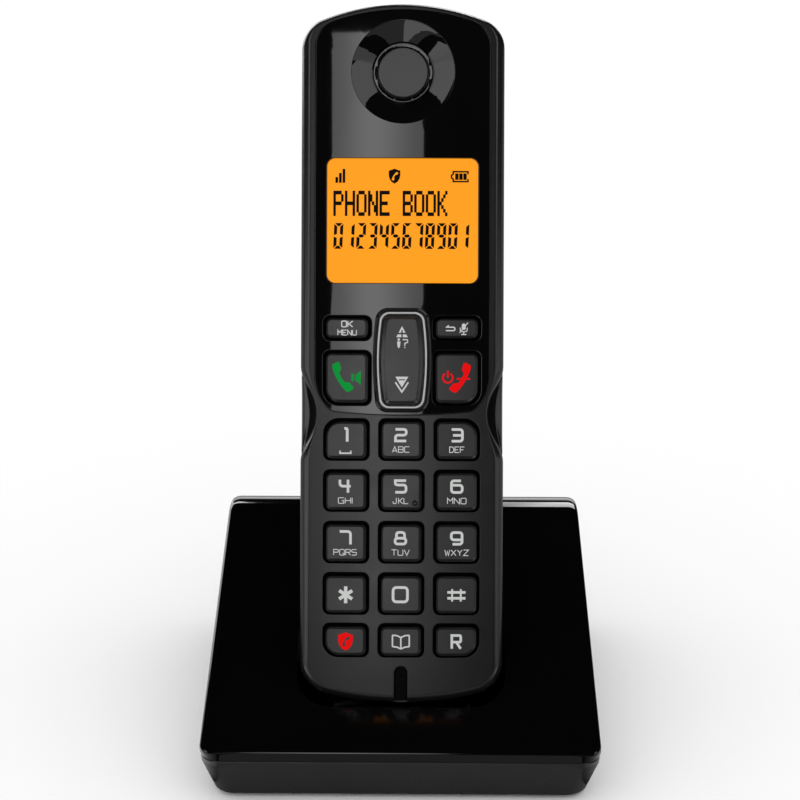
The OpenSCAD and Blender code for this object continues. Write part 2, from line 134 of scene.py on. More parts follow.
def bowed_end(half, z_end, big, small, side):
    """A broad arc of radius big that meets straight sides in corners of radius small."""
    cx = half - small
    rise = math.sqrt((big - small) ** 2 - cx ** 2)
    lean = math.degrees(math.atan2(rise, cx))
    turn = 0 if side > 0 else 180
    zc, zb = z_end - side * (big - rise), z_end - side * big
    return (arc(side * cx, zc, small, turn, turn + lean, 10)
            + arc(0, zb, big, turn + lean, turn + 180 - lean, 24)[1:-1]
            + arc(-side * cx, zc, small, turn + 180 - lean, turn + 180, 10))


def barrel(cz, width, height, bulge, corner):
    """Outline with bulging sides and rounded corners, about (0, cz)."""
    steps = 10
    half_w, half_h = width / 2, height / 2

    def edge(z):
        return half_w - bulge * (z / half_h) ** 2

    side = []
    for i in range(steps + 1):
        side.append((edge(i / steps * (half_h - corner)), i / steps * (half_h - corner)))
    x = edge(half_h - corner)
    side += arc(x - corner, half_h - corner, corner, 0, 90, steps)
    side += [((x - corner) * (1 - i / 6), half_h) for i in range(1, 7)]
    left = [(-a, b) for a, b in reversed(side)]
    upper = side + left
    lower = [(-a, -b) for a, b in upper]
    return [(a, b + cz) for a, b in without_repeats(upper + lower)]


def inset(loop, d):
    """Moves each point of a counterclockwise loop inwards by d."""
    moved = []
    for i, (x, z) in enumerate(loop):
        ax, az = loop[i - 1]
        bx, bz = loop[(i + 1) % len(loop)]
        before = Vector((az - z, x - ax)).normalized()
        after = Vector((z - bz, bx - x)).normalized()
        middle = (before + after).normalized()
        step = d / max(0.4, middle.dot(before))
        moved.append((x + middle.x * step, z + middle.y * step))
    return moved


def quarter(across, down, steps):
    """A quarter of an ellipse, from (across, 0) where it is level to (0, down) where it is upright."""
    turns = [math.radians(90 * i / steps) for i in range(steps + 1)]
    return [(across * (1 - math.sin(a)), down * (1 - math.cos(a))) for a in turns]


# ---- Building closed meshes ring by ring ----

class Shell:
    """Rings of points and the faces between them. flat names the two coordinates that fill() works in."""

    def __init__(self, flat=(0, 2)):
        self.points, self.faces, self.flat, self.level_faces = [], [], flat, set()

    def add(self, points):
        start = len(self.points)
        self.points += points
        return list(range(start, len(self.points)))

    def ring(self, loop, height):
        """Adds a flat loop. height is its third coordinate."""
        third = 3 - sum(self.flat)
        return self.add([(*p[:third], height, *p[third:]) for p in loop])

    def bridge(self, *rings):
        for a, b in zip(rings, rings[1:]):
            n = len(a)
            self.faces += [(a[i], a[(i + 1) % n], b[(i + 1) % n], b[i]) for i in range(n)]

    def fill(self, outer, holes=()):
        """Covers the flat region between the outer ring and the holes."""
        rings = [outer, *holes]
        ids = [i for ring in rings for i in ring]
        u, v = self.flat
        flat = [Vector((self.points[i][u], self.points[i][v])) for i in ids]
        edges, start = [], 0
        for ring in rings:
            edges += [(start + k, start + (k + 1) % len(ring)) for k in range(len(ring))]
            start += len(ring)
        places, _, faces, source, _, _ = delaunay_2d_cdt(flat, edges, [], 1, 1e-7, True)
        crossed = [tuple(round(c, 2) for c in place) for place, made in zip(places, source) if len(made) != 1]
        if crossed:
            raise ValueError(f"rings of a flat face cross or touch each other at {crossed[:4]}")
        ends = np.array([(flat[a][:], flat[b][:]) for a, b in edges])
        middles = np.array([np.mean([places[k][:] for k in face], axis=0) for face in faces])
        for face, crossings in zip(faces, count_crossings(middles, ends)):
            if crossings % 2:
                self.level_faces.add(len(self.faces))
                self.faces.append([ids[source[k][0]] for k in face])

    def cap(self, *rings):
        """Covers each of the rings."""
        for ring in rings:
            self.fill(ring)

    def edge(self, loop, profile):
        """Rings that follow a loop along a profile of (inset, y). Gives the first ring and the last."""
        rings = [self.ring(inset(loop, d), y) for d, y in profile]
        self.bridge(*rings)
        return rings[0], rings[-1]

    def close(self, *rings):
        """Joins the rings in turn and covers the first and the last."""
        self.bridge(*rings)
        self.cap(rings[0], rings[-1])

    def plate(self, loop, profile):
        """A closed plate that follows a loop along a profile."""
        self.cap(*self.edge(loop, profile))

    def turned(self, a, b, profile, steps):
        """A closed round body about (a, b), from its profile, a list of (radius, height)."""
        self.close(*[self.ring(circle(a, b, r, steps), height) for r, height in profile])

    def take(self, other, place):
        """Adds another shell's points and faces, moved by a matrix."""
        start = len(self.points)
        self.level_faces |= {i + len(self.faces) for i in other.level_faces}
        self.points += [tuple(place @ Vector(p)) for p in other.points]
        self.faces += [[start + i for i in face] for face in other.faces]


def count_crossings(points, ends):
    """How many of the edges lie to the right of each point."""
    (ax, ay), (bx, by) = ends[:, 0].T, ends[:, 1].T
    px, py = points[:, :1], points[:, 1:]
    spans = (ay > py) != (by > py)
    rise = np.where(by == ay, 1, by - ay)
    return (spans & (px < ax + (py - ay) * (bx - ax) / rise)).sum(axis=1)


def finish_mesh(mesh, crown=False):
    """Joins points that coincide and turns every face outwards."""
    shape = bmesh.new()
    shape.from_mesh(mesh)
    if crown:
        crowned(shape)
    bmesh.ops.remove_doubles(shape, verts=shape.verts, dist=2e-7)
    bmesh.ops.recalc_face_normals(shape, faces=shape.faces)
    for face in shape.faces:
        face.smooth = True
    shape.to_mesh(mesh)
    shape.free()


def shade(mesh, crease):
    """Shades a mesh so that flat faces look flat, and only the rounded edges between them bend the light."""
    level = mesh.attributes["level"].data if "level" in mesh.attributes else None
    limit = math.cos(math.radians(crease))
    around = [[] for _ in mesh.vertices]
    for face in mesh.polygons:
        flat = bool(level and level[face.index].value)
        for v in face.vertices:
            around[v].append((face.normal, face.area * (1e6 if flat else 1)))
    normals = []
    for face in mesh.polygons:
        for v in face.vertices:
            total = Vector((0, 0, 0))
            for normal, weight in around[v]:
                if normal.dot(face.normal) > limit:
                    total += normal * weight
            normals.append(total.normalized() if total.length else face.normal)
    mesh.normals_split_custom_set(normals)


def linked(name, data):
    """A new object in the scene."""
    obj = bpy.data.objects.new(name, data)
    bpy.context.scene.collection.objects.link(obj)
    return obj


def loose(name, shell, place):
    """An object made of a shell, with no material or body yet. What HAND itself places gets the crown."""
    mesh = bpy.data.meshes.new(name)
    mesh.from_pydata([place @ Vector(p) for p in shell.points], [], shell.faces)
    level = mesh.attributes.new("level", "INT", "FACE")
    level.data.foreach_set("value", [int(i in shell.level_faces) for i in range(len(shell.faces))])
    finish_mesh(mesh, place is HAND)
    return linked(name, mesh)


def combine(obj, tool, operation="DIFFERENCE"):
    """Takes another object out of an object, or joins it on, and deletes the other."""
    boolean = obj.modifiers.new("combine", "BOOLEAN")
    boolean.operation = operation
    boolean.solver = "EXACT"
    boolean.object = tool
    bpy.context.view_layer.update()
    done = bpy.data.meshes.new_from_object(obj.evaluated_get(bpy.context.evaluated_depsgraph_get()))
    obj.modifiers.clear()
    obj.data = done
    bpy.data.objects.remove(tool)
    finish_mesh(obj.data)


def combine_shell(obj, shell, place, operation="DIFFERENCE"):
    combine(obj, loose("tool", shell, place), operation)


def gathered(shells):
    """One shell out of several that lie apart."""
    together = Shell()
    for shell in shells:
        together.take(shell, Matrix())
    return together


def cut(obj, shells, place):
    """Takes closed shells that lie apart out of an object."""
    combine_shell(obj, gathered(shells), place)


def settle(obj, body, slot, replaces=(), material=None, crease=38):
    """Gives a finished object its shading and a material, by default its slot's, and rides it on its body."""
    obj.data.materials.clear()
    obj.data.materials.append(material or FINISHES[slot])
    shade(obj.data, crease)
    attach(obj, body)
    if replaces:
        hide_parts(*replaces)
    return obj


def piece(name, shell, place, body, slot, replaces=(), material=None, crease=38):
    return settle(loose(name, shell, place), body, slot, replaces, material, crease)


def slab(loop, y0, y1):
    """A plain closed plate of an outline from y0 to y1, for cutting or joining on."""
    shell = Shell()
    shell.plate(loop, [(0, y0), (0, y1)])
    return shell


def block(low, high):
    """A plain closed box, for cutting."""
    shell = Shell()
    (x0, y0, z0), (x1, y1, z1) = low, high
    loop = [(x0, z0), (x1, z0), (x1, z1), (x0, z1)]
    a, b = shell.ring(loop, y0), shell.ring(loop, y1)
    shell.bridge(a, b)
    shell.faces += [a, b]
    return shell


def discs(places, r, z0, z1, steps=32, shell=None):
    """Upright closed cylinders at several places, in a shell of their own or added to another."""
    shell = shell or Shell(flat=(0, 1))
    for x, y in places:
        shell.turned(x, y, [(r, z0), (r, z1)], steps)
    return shell


# ---- Materials ----

def shaded(name):
    """A new node material: its nodes, its links and its Principled shader."""
    material = bpy.data.materials.new(name)
    material.use_nodes = True
    nodes, links = material.node_tree.nodes, material.node_tree.links
    return material, nodes, links, nodes["Principled BSDF"]


def setting(made, **values):
    """Sets inputs of a node. A space in an input's name is written as _."""
    for name, value in values.items():
        made.inputs[name.replace("_", " ")].default_value = value
    return made


def node(nodes, kind, **values):
    return setting(nodes.new("ShaderNode" + kind), **values)


def noise(nodes, links, scale, detail=2.0):
    """A noise that is fixed to the object. Its scale is in bumps to the metre."""
    place = node(nodes, "TexCoord")
    texture = node(nodes, "TexNoise", Scale=scale, Detail=detail)
    links.new(place.outputs["Object"], texture.inputs["Vector"])
    return texture.outputs["Fac"]


def spread(nodes, links, value, low, high):
    """Maps a noise to the range from low to high."""
    span = node(nodes, "MapRange", From_Min=0.3, From_Max=0.7, To_Min=low, To_Max=high)
    links.new(value, span.inputs["Value"])
    return span.outputs["Result"]


def blend_colours(nodes, links, value, first, second):
    mix = node(nodes, "Mix")
    mix.data_type = "RGBA"
    setting(mix, A=(*first, 1), B=(*second, 1))
    links.new(value, mix.inputs["Factor"])
    return mix.outputs["Result"]


def plastic(name, colour, rough, grain=1800, depth=0.0, vary=0.15, specular=0.5, coat=0.0, wear=0.06):
    """Moulded plastic. grain is the texture's fineness, depth its height, vary how uneven its gloss is."""
    material, nodes, links, shader = shaded(name)
    broad = spread(nodes, links, noise(nodes, links, 45), 0, 1)
    worn = tuple(c * (1 + 4 * wear) for c in colour)
    links.new(blend_colours(nodes, links, broad, colour, worn), shader.inputs["Base Color"])
    fine = noise(nodes, links, grain, 3)
    uneven = spread(nodes, links, noise(nodes, links, 160, 4), rough * (1 - vary), rough * (1 + vary))
    links.new(uneven, shader.inputs["Roughness"])
    setting(shader, Specular_IOR_Level=specular, Coat_Weight=coat)
    if depth:
        bump = node(nodes, "Bump", Strength=1.0, Distance=depth * MM)
        links.new(fine, bump.inputs["Height"])
        links.new(bump.outputs["Normal"], shader.inputs["Normal"])
    return material


def metal(name, colour, rough):
    material = plastic(name, colour, rough, 900, 0.004, vary=0.25, wear=0.02)
    setting(material.node_tree.nodes["Principled BSDF"], Metallic=1.0)
    return material


def glowing(name, colour, strength):
    """A lit display: its own light, hardly uneven, under a matt skin."""
    material, nodes, links, shader = shaded(name)
    skin = (*[c * 0.1 for c in colour], 1)
    setting(shader, Base_Color=skin, Specular_IOR_Level=0.1, Emission_Strength=strength)
    uneven = spread(nodes, links, noise(nodes, links, 30), 0, 1)
    edge = tuple(c * 0.97 for c in colour)
    links.new(blend_colours(nodes, links, uneven, edge, colour), shader.inputs["Emission Color"])
    links.new(spread(nodes, links, noise(nodes, links, 300), 0.5, 0.6), shader.inputs["Roughness"])
    return material


FINISHES = {
    "base_gloss": plastic("base_gloss", (0.0012, 0.0012, 0.0014), 0.06, 260, 0.0006, specular=0.38),
    "base_dark": plastic("base_dark", (0.011, 0.011, 0.0115), 0.3, 2600, 0.004, specular=0.4),
    "housing_matte": plastic("housing_matte", (0.0055, 0.0054, 0.0056), 0.23, 5200, 0.0005, vary=0.08),
    "handset_gloss": plastic("handset_gloss", (0.004, 0.004, 0.0042), 0.1, 260, 0.0006),
    "fascia_gloss": plastic("fascia_gloss", (0.002, 0.002, 0.002), 0.02, 200),
    "key_matte": plastic("key_matte", (0.014, 0.0136, 0.0138), 0.25, 5200, 0.0005, vary=0.08),
    "ear_cap_grey": plastic("ear_cap_grey", (0.045, 0.045, 0.046), 0.42, 3200, 0.003),
    "silver_trim": plastic("silver_trim", (0.4, 0.4, 0.405), 0.3, 1500, 0.001, specular=0.8, wear=0.02),
    "button_grey": plastic("button_grey", (0.05, 0.05, 0.052), 0.4, 2400, 0.006),
    "foot_rubber": plastic("foot_rubber", (0.03, 0.03, 0.03), 0.8, 1500, 0.02, vary=0.08),
    "mat_rubber": plastic("mat_rubber", (0.35, 0.35, 0.36), 0.7, 1200, 0.01),
    "screw_steel": metal("screw_steel", (0.55, 0.55, 0.57), 0.3),
    "spring_steel": metal("spring_steel", (0.6, 0.6, 0.6), 0.25),
    "dome_steel": metal("dome_steel", (0.62, 0.6, 0.55), 0.25),
    "nickel_contact": metal("nickel_contact", (0.7, 0.69, 0.66), 0.22),
    "gold_contact": metal("gold_contact", (0.83, 0.6, 0.24), 0.22),
    "tinned_shield": metal("tinned_shield", (0.62, 0.63, 0.65), 0.34),
    "mic_can": metal("mic_can", (0.5, 0.5, 0.5), 0.3),
    "circuit_board": plastic("circuit_board", (0.02, 0.14, 0.06), 0.35, 700, 0.02, coat=0.4),
    "capacitor_sleeve": plastic("capacitor_sleeve", (0.02, 0.03, 0.12), 0.3, 900, 0.004),
    "socket_black": plastic("socket_black", (0.012, 0.012, 0.012), 0.35, 2200, 0.006),
    "socket_grey": plastic("socket_grey", (0.11, 0.11, 0.115), 0.38, 2200, 0.006),
    "switch_black": plastic("switch_black", (0.02, 0.02, 0.02), 0.4, 2200, 0.006),
    "ivory_plastic": plastic("ivory_plastic", (0.68, 0.66, 0.58), 0.42, 2200, 0.006),
    "speaker_black": plastic("speaker_black", (0.02, 0.02, 0.021), 0.6, 1500, 0.02),
    "tray_black": plastic("tray_black", (0.02, 0.02, 0.02), 0.45, 2200, 0.006),
    "cell_wrap": plastic("cell_wrap", (0.03, 0.22, 0.09), 0.28, 500, 0.004, coat=0.5),
    "backlight_white": plastic("backlight_white", (0.8, 0.8, 0.78), 0.5, 1500, 0.004),
    "display_glass": plastic("display_glass", (0.35, 0.2, 0.05), 0.05, 300),
    "display_window": glowing("display_window", (1.0, 0.335, 0.0085), 0.98),
}
PRINT_GREY = plastic("print_grey", (0.53, 0.54, 0.53), 0.5, 4000, 0.001, vary=0.1, wear=0.01)
PRINT_RED = plastic("print_red", (0.74, 0.001, 0.002), 0.6, 4000, 0.001, vary=0.1, specular=0.05, wear=0.01)
PRINT_GREEN = plastic("print_green", (0.0, 0.27, 0.035), 0.6, 4000, 0.001, vary=0.1, specular=0.05, wear=0.01)
# Near-black and hardly shining: painted shade, for the key skirts in the shaded gaps and for the microphone's
# strip in its slot.
PAINTED_SHADE_BLACK = plastic("painted_shade_black", (0.0015, 0.0015, 0.0015), 0.8, 2600, 0.002, specular=0.05)
SEGMENT_BLACK = plastic("segment_black", (0.002, 0.0015, 0.001), 0.6, 4000, 0.001, specular=0.1, wear=0.01)


def finish_frame():
    """Gives every CAD node that stays its finish."""
    for name, node in frame["nodes"].items():
        node.data.materials.clear()
        node.data.materials.append(FINISHES[SLOTS[name]])


# ---- The handset's housing ----

SIDE_ROOM, END_ROOM = 0.25, 1.4
HIGH = hand_box("rear_housing")[1]
HALF, LENGTH, THICK = HIGH.x - SIDE_ROOM, HIGH.z - END_ROOM, HIGH.y
SEAM = hand_box("front_housing")[1].y
FACE_LOW, FACE_HIGH = hand_box("fascia")
DOOR_LOW, DOOR_HIGH = hand_box("battery_door")
FACE_T, SHELL_T = 1.2, 2.0
SIDE_BEVEL, BEVEL_DEPTH = 2.35, 3.4
FLANGE = 0.5
WAIST_Z, WAIST_HALF, WAIST_DEPTH = 67.7, 11.0, 3.7
WAIST_LEDGE = 5.3
WELL_GAP, WELL_FLOOR = 0.8, -0.6
# The keys with one long corner, and which of their corners that is.
LONG_CORNERS = {"key_1": 1, "key_3": 0, "key_block": 2, "key_recall": 3, "key_talk": 2, "key_end": 3}


def bump_at(z):
    """How far into the waist a height is: 1 at its middle and 0 at its ends."""
    t = (z - WAIST_Z) / WAIST_HALF
    return (1 - t * t) ** 2 if abs(t) < 1 else 0.0


def lift_at(z):
    """Like bump_at, but it rises close to the waist's ends."""
    t = min(1.0, max(0.0, (1 - abs(z - WAIST_Z) / WAIST_HALF) / 0.22))
    return t * t * (3 - 2 * t)


def hand_loop(d, waist=0.0):
    """The handset's outline, set in by d (its top by less), with its sides scooped in by the waist."""
    heights = [WAIST_Z + WAIST_HALF * i / 12 for i in range(-12, 13)]
    top_share = min(1, 0.5 + 0.1 * max(0, d - SIDE_BEVEL))
    top = bowed_end(HALF - d, LENGTH - d * top_share, 52 - d, 7 - d, 1)
    bottom = bowed_end(HALF - d, d, 75 - d, 8 - d, -1)
    left = [(d - HALF, z) for z in reversed(heights)]
    right = [(HALF - d, z) for z in heights]
    return [(x - math.copysign(waist * bump_at(z), x), z) for x, z in top + left + bottom + right]


def fascia_loop(grow=0.0):
    """The gloss face's outline. Its lower corners are long and follow the waist."""
    half, low, high = FACE_HIGH.x + grow, FACE_LOW.z - grow, FACE_HIGH.z + grow
    across, along, power, bow = 4.6, 8.0, 1.6, 150
    cx = half - across
    foot = bow - math.sqrt(bow ** 2 - cx ** 2)
    corner = []
    for i in range(15):
        a = math.radians(90 * i / 14)
        x, z = math.cos(a) ** (2 / power), math.sin(a) ** (2 / power)
        corner.append((cx + across * x, low + foot + along * (1 - z)))
    places = [cx * (i / 12) for i in range(-11, 12)]
    bottom = [(x, low + bow - math.sqrt(bow ** 2 - x * x)) for x in places]
    left = [(-x, z) for x, z in corner]
    return bowed_end(half, high, 50 + grow, 6 + grow, 1) + left + bottom + list(reversed(corner))


def opening(name, grow=0.0):
    """The opening in the front that a key stands in."""
    low, high = hand_box(name)
    number = name in NUMBER_KEYS
    d, rise = (FLANGE - grow - 0.05, 0.12) if number else (FLANGE - grow, 0.0)
    radii = [1.6 + grow] * 4
    if name in LONG_CORNERS:
        radii[LONG_CORNERS[name]] = 3.6 + grow
    return rounded_box(low.x + d, high.x - d, low.z + d + rise + 0.15, high.z - d + rise, radii)


UPPER_KEYS = ["key_menu", "key_back", "key_talk", "key_end"]
NUMBER_KEYS = sorted(n for n in frame["nodes"]
                     if n.startswith("key_") and n not in UPPER_KEYS + ["key_domes"])
RING_T, RING_GAP = 0.45, 0.42
NAV_LOW, NAV_HIGH = hand_box("nav_ring")
NAV_Z = (NAV_LOW.z + NAV_HIGH.z) / 2 + 0.2
NAV_W, NAV_H = NAV_HIGH.x - NAV_LOW.x - 0.15, NAV_HIGH.z - NAV_LOW.z - 0.4
WINDOW_LOW, WINDOW_HIGH = [corner + Vector((0, 0, 0.35)) for corner in hand_box("display_lens")]
EAR_LOW, EAR_HIGH = hand_box("ear_cap")
EAR_Z = (EAR_LOW.z + EAR_HIGH.z) / 2
SCREEN_Z = (WINDOW_LOW.z + WINDOW_HIGH.z) / 2
BOSSES = [(-15, 6.5), (15, 6.5), (-16.5, 152), (16.5, 152)]
MIC_Z, MIC_HALF = hand_box("microphone")[1].z - 1.6, 1.5


def nav_loop(grow=0.0, corner=2.0):
    """The navigation key's ring, or a loop that far outside it."""
    return barrel(NAV_Z, NAV_W + 2 * grow, NAV_H + 2 * grow, 0.9, corner + grow)


def window_loop(d=0.0):
    """The display's outline, set in by d."""
    low, high = WINDOW_LOW, WINDOW_HIGH
    return rounded_box(low.x + d, high.x - d, low.z + d, high.z - d, [1.9 - d] * 4)


def hand_ring(shell, d, y, waist=0.0, lift=0.0):
    """A ring along the handset's outline that rises towards the front beside the waist."""
    return shell.add([(x, y - lift * lift_at(z), z) for x, z in hand_loop(d, waist)])


def front_housing():
    """The matte front, with openings for the keys and a recess for the gloss face."""
    shell = Shell()
    rounding = quarter(SIDE_BEVEL, BEVEL_DEPTH, 10)
    rings = [hand_ring(shell, d, y, WAIST_DEPTH - 0.8 * d) for d, y in rounding]
    inner = [(0.0, SEAM - 0.25), (0.12, SEAM - 0.05), (SHELL_T, SEAM - 0.05), (SHELL_T, SHELL_T + 0.8),
             (SHELL_T + 0.6, SHELL_T)]
    rings += [hand_ring(shell, d, y, WAIST_DEPTH) for d, y in inner]
    shell.bridge(*rings)
    rim = [(-0.14, 0), (-0.04, 0.04), (0, 0.14), (0, SHELL_T)]
    keys = [shell.edge(opening(k), rim) for k in NUMBER_KEYS]
    recess = shell.edge(fascia_loop(0.08), [(-0.1, 0), (0, 0.1), (0, FACE_T + 0.05)])
    low, high = WINDOW_LOW + Vector((0.9, 0, 0.8)), WINDOW_HIGH - Vector((0.9, 0, 0.8))
    pane = rounded_box(low.x, high.x, low.z, high.z, [1] * 4, 3)
    through = [pane, nav_loop(-0.55, 1.5), circle(0, EAR_Z, 13.3)] + [opening(k) for k in UPPER_KEYS]
    walls = [shell.edge(loop, [(0, FACE_T + 0.05), (0, SHELL_T)]) for loop in through]
    shell.fill(rings[0], [first for first, _ in keys] + [recess[0]])
    shell.fill(recess[1], [first for first, _ in walls])
    shell.fill(rings[-1], [last for _, last in keys + walls])
    obj = loose("front_housing_shell", shell, HAND)
    groove = Shell()
    slot = arc(0, MIC_Z, MIC_HALF, 0, 180, 16) + [(-MIC_HALF, -2), (MIC_HALF, -2)]
    groove.plate(slot, [(-0.25, -1), (-0.25, 0.02), (-0.06, 0.09), (0, 0.3), (0, 1.0), (0.3, 1.2)])
    combine_shell(obj, groove, HAND)
    settle(obj, "handset", "housing_matte", ["front_housing"])


def microphone_inlay():
    """A strip in the slot at the lower end, with the microphone's hole. Its near-black, unshining finish is partly
    the strip's own black and partly painted shade for the shaded slot.
    """
    inlay = Shell()
    half, foot = MIC_HALF - 0.02, 0.95
    outline = arc(0, MIC_Z, half, 0, 180, 16) + [(-half, foot), (half, foot)]
    first, last = inlay.edge(outline, [(0.35, 0.62), (0.12, 0.7), (0, 0.9), (0, 1.35)])
    hole = inlay.edge(circle(0, MIC_Z - 0.75, 0.3, 24), [(-0.12, 0.62), (-0.03, 0.66), (0, 0.8), (0, 1.1)])
    inlay.fill(first, [hole[0]])
    inlay.cap(hole[1], last)
    piece("microphone_inlay", inlay, HAND, "handset", "socket_black", material=PAINTED_SHADE_BLACK)


def rear_housing():
    """The gloss back shell. Beside the waist it rises towards the front as a ledge."""
    shell = Shell()
    turns = [math.radians(7.5 * i) for i in range(13)]
    rings = [hand_ring(shell, SHELL_T + 4.6 * (1 - math.cos(a)), THICK - 7 + 5 * math.sin(a))
             for a in reversed(turns)]
    rings += [hand_ring(shell, SHELL_T, SEAM + 0.9), hand_ring(shell, 0.14, SEAM, WAIST_DEPTH)]
    for i in range(9):
        a = math.radians(90 * i / 8)
        out, rise = 1 - math.sin(a) ** 0.5, abs(math.cos(a)) ** 0.5
        y = SEAM + 0.25 * (1 - math.cos(a))
        rings.append(hand_ring(shell, 0.14 * out, y, WAIST_DEPTH * out, WAIST_LEDGE * rise))
    rings += [hand_ring(shell, 0, SEAM + 3), hand_ring(shell, 0, THICK - 7)]
    rings += [hand_ring(shell, 6 * (1 - math.cos(a)), THICK - 7 + 7 * math.sin(a)) for a in turns[1:]]
    shell.close(*rings)
    obj = loose("rear_housing_shell", shell, HAND)
    posts = [slab(circle(x, z, 3.3, 32), SEAM + 0.1, THICK - 1.5) for x, z in BOSSES]
    combine_shell(obj, gathered(posts), HAND, "UNION")
    low, high, gap = DOOR_LOW, DOOR_HIGH, 0.25
    windows = [rounded_box(low.x - gap, high.x + gap, low.z - gap, high.z + gap, [2] * 4, 6)]
    slots = [SCREEN_Z + 2.2 * i for i in range(-3, 4)]
    windows += [rounded_box(-8, 8, z - 0.5, z + 0.5, [0.49] * 4, 4) for z in slots]
    holes = [slab(loop, THICK - 3, THICK + 1) for loop in windows]
    screw_y = hand_box("handset_screws")[1].y - 1.6
    holes += [slab(circle(x, z, 2.4, 32), screw_y, THICK + 1) for x, z in BOSSES]
    low, high = hand_box("charging_pads")
    for side in (-1, 1):
        x0, x1 = sorted((side * high.x + side * 0.1, side * (high.x - 4.5)))
        holes.append(block((x0, low.y - 0.1, -1), (x1, high.y + 0.1, 3)))
    cut(obj, holes, HAND)
    cut(obj, [slab(circle(x, z, 1.4, 24), SEAM - 1, THICK - 4) for x, z in BOSSES], HAND)
    settle(obj, "handset", "handset_gloss", ["rear_housing"])


def battery_door():
    """The door's panel, with grooves for a thumb."""
    low, high = DOOR_LOW, DOOR_HIGH
    shell = Shell()
    loop = rounded_box(low.x, high.x, low.z, high.z, [1.8] * 4, 6)
    shell.plate(loop, [(0.3, high.y), (0.1, high.y - 0.08), (0, high.y - 0.3), (0, low.y)])
    obj = loose("battery_door_panel", shell, HAND)
    grips = []
    profile = [(d, high.y + y) for d, y in ((-0.12, 0.5), (-0.12, -0.02), (0.02, -0.25), (0.2, -0.4))]
    for i in range(5):
        z = high.z - 9.7 + 1.7 * i
        half = 6.5 - 0.5 * abs(i - 2)
        groove = Shell()
        groove.plate(rounded_box(-half, half, z - 0.45, z + 0.45, [0.35] * 4, 4), profile)
        grips.append(groove)
    cut(obj, grips, HAND)
    settle(obj, "battery_door", "handset_gloss", ["battery_door"])


# ---- The gloss face, the display, the ear piece and the ring ----

def fascia():
    """The gloss face: the earpiece's dish, and openings for the display, the upper keys and the ring."""
    shell = Shell()
    outer = shell.edge(fascia_loop(), [(0.14, 0), (0.04, 0.04), (0, 0.14), (0, FACE_T)])
    window = shell.edge(window_loop(-0.1), [(-0.16, 0), (-0.05, 0.05), (0, 0.16), (0, FACE_T)])
    rim = [(-0.3, 0), (-0.15, 0.05), (-0.05, 0.15), (0, 0.35), (0, FACE_T)]
    keys = [shell.edge(opening(k), rim) for k in UPPER_KEYS]
    bank = [(-0.1, 0), (-0.03, 0.03), (0.04, 0.15), (0.1, 0.3), (0.7, 0.55), (0.78, FACE_T)]
    moat = shell.edge(nav_loop(0.88), bank)
    wide, narrow, depth = 12.0, 7.35, 1.8
    steps = [i / 12 for i in range(13)]
    dish = [(wide + 0.12, 0), (wide + 0.03, 0.03)]
    dish += [(wide - (wide - narrow) * t, 0.1 + (depth - 0.1) * t ** 0.92) for t in steps]
    dish += [(7.27, 1.95), (7.1, 2.0), (6.98, 1.9), (6.93, 1.62), (6.84, 1.52), (6.2, 1.52), (6.08, 1.6),
             (6.02, 1.8), (6.0, 3.0), (13.0, 3.0), (13.0, FACE_T)]
    rings = [shell.ring(circle(0, EAR_Z, r, 96), y) for r, y in dish]
    shell.bridge(*rings)
    shell.fill(outer[0], [window[0], moat[0], rings[0]] + [k[0] for k in keys])
    shell.fill(outer[1], [window[1], moat[1], rings[-1]] + [k[1] for k in keys])
    piece("fascia_panel", shell, HAND, "handset", "fascia_gloss", ["fascia"])


def ear_cap():
    """The grey disc in the middle of the dish."""
    shell = Shell()
    profile = [(5.35, 0.7), (5.6, 0.76), (5.72, 0.95), (5.74, 1.2), (5.74, 3.0), (EAR_HIGH.x, 3.0),
               (EAR_HIGH.x, EAR_HIGH.y)]
    shell.turned(0, EAR_Z, profile, 96)
    piece("ear_cap_disc", shell, HAND, "handset", "ear_cap_grey", ["ear_cap"])


def display_lens():
    shell = Shell()
    shell.plate(window_loop(), [(0.12, 0.02), (0.03, 0.05), (0, 0.14), (0, FACE_T)])
    piece("display_pane", shell, HAND, "handset", "display_window", ["display_lens"])


def nav_ring():
    """A thin silver band with both of its edges rounded."""
    shell = Shell()
    y0 = NAV_LOW.y
    profile = [(0, FACE_T), (0, y0 + 0.2), (0.05, y0 + 0.06), (0.15, y0)]
    profile += [(RING_T - d, y) for d, y in reversed(profile)]
    rings = [shell.ring(nav_loop(-d, 2.4), y) for d, y in profile]
    shell.bridge(*rings, rings[0])
    piece("nav_ring_band", shell, HAND, "handset", "silver_trim", ["nav_ring"])


# ---- Keys ----

KEY_TOP = hand_box("key_8")[0].y
KEY_GAP = 0.65
STEM = 5.14


def at_top(z):
    return KEY_TOP


def above(surface, lift):
    """A surface that stands a little further forward, for a stroke that crosses another."""
    return lambda z: surface(z) - lift


def between(first, second, t):
    """A loop that lies a share t of the way from one loop to another."""
    return [(a[0] + (b[0] - a[0]) * t, a[1] + (b[1] - a[1]) * t) for a, b in zip(first, second)]


def key_shape(base, top, flange, stems, surface):
    """A cap on a flange, with stems behind. surface gives how far forward the top is at a height z."""
    shell = Shell()
    behind = SHELL_T + 0.25
    shoulder = [(0, behind), (0, -0.05), (0.03, -0.22), (0.12, -0.4), (0.3, -0.56), (0.55, -0.75),
                (0.78, -0.95), (0.9, -1.06), (0.96, -1.13), (1.0, -1.17), (1.06, -1.195), (1.15, -1.2)]
    rims = [shell.ring(flange, 3.0), shell.ring(flange, behind)]
    for s, y in shoulder:
        loop = between(base, top, s)
        share = max(0.0, min(1.0, s))
        rims.append(shell.add([(x, y + share * (surface(z) - KEY_TOP), z) for x, z in loop]))
    shell.bridge(*rims)
    feet = [shell.edge(circle(x, z, 1.5, 20), [(0, 3.0), (0, STEM - 0.2), (0.2, STEM)]) for x, z in stems]
    shell.fill(rims[0], [foot[0] for foot in feet])
    shell.cap(*[foot[1] for foot in feet])
    return shell, rims[-1]


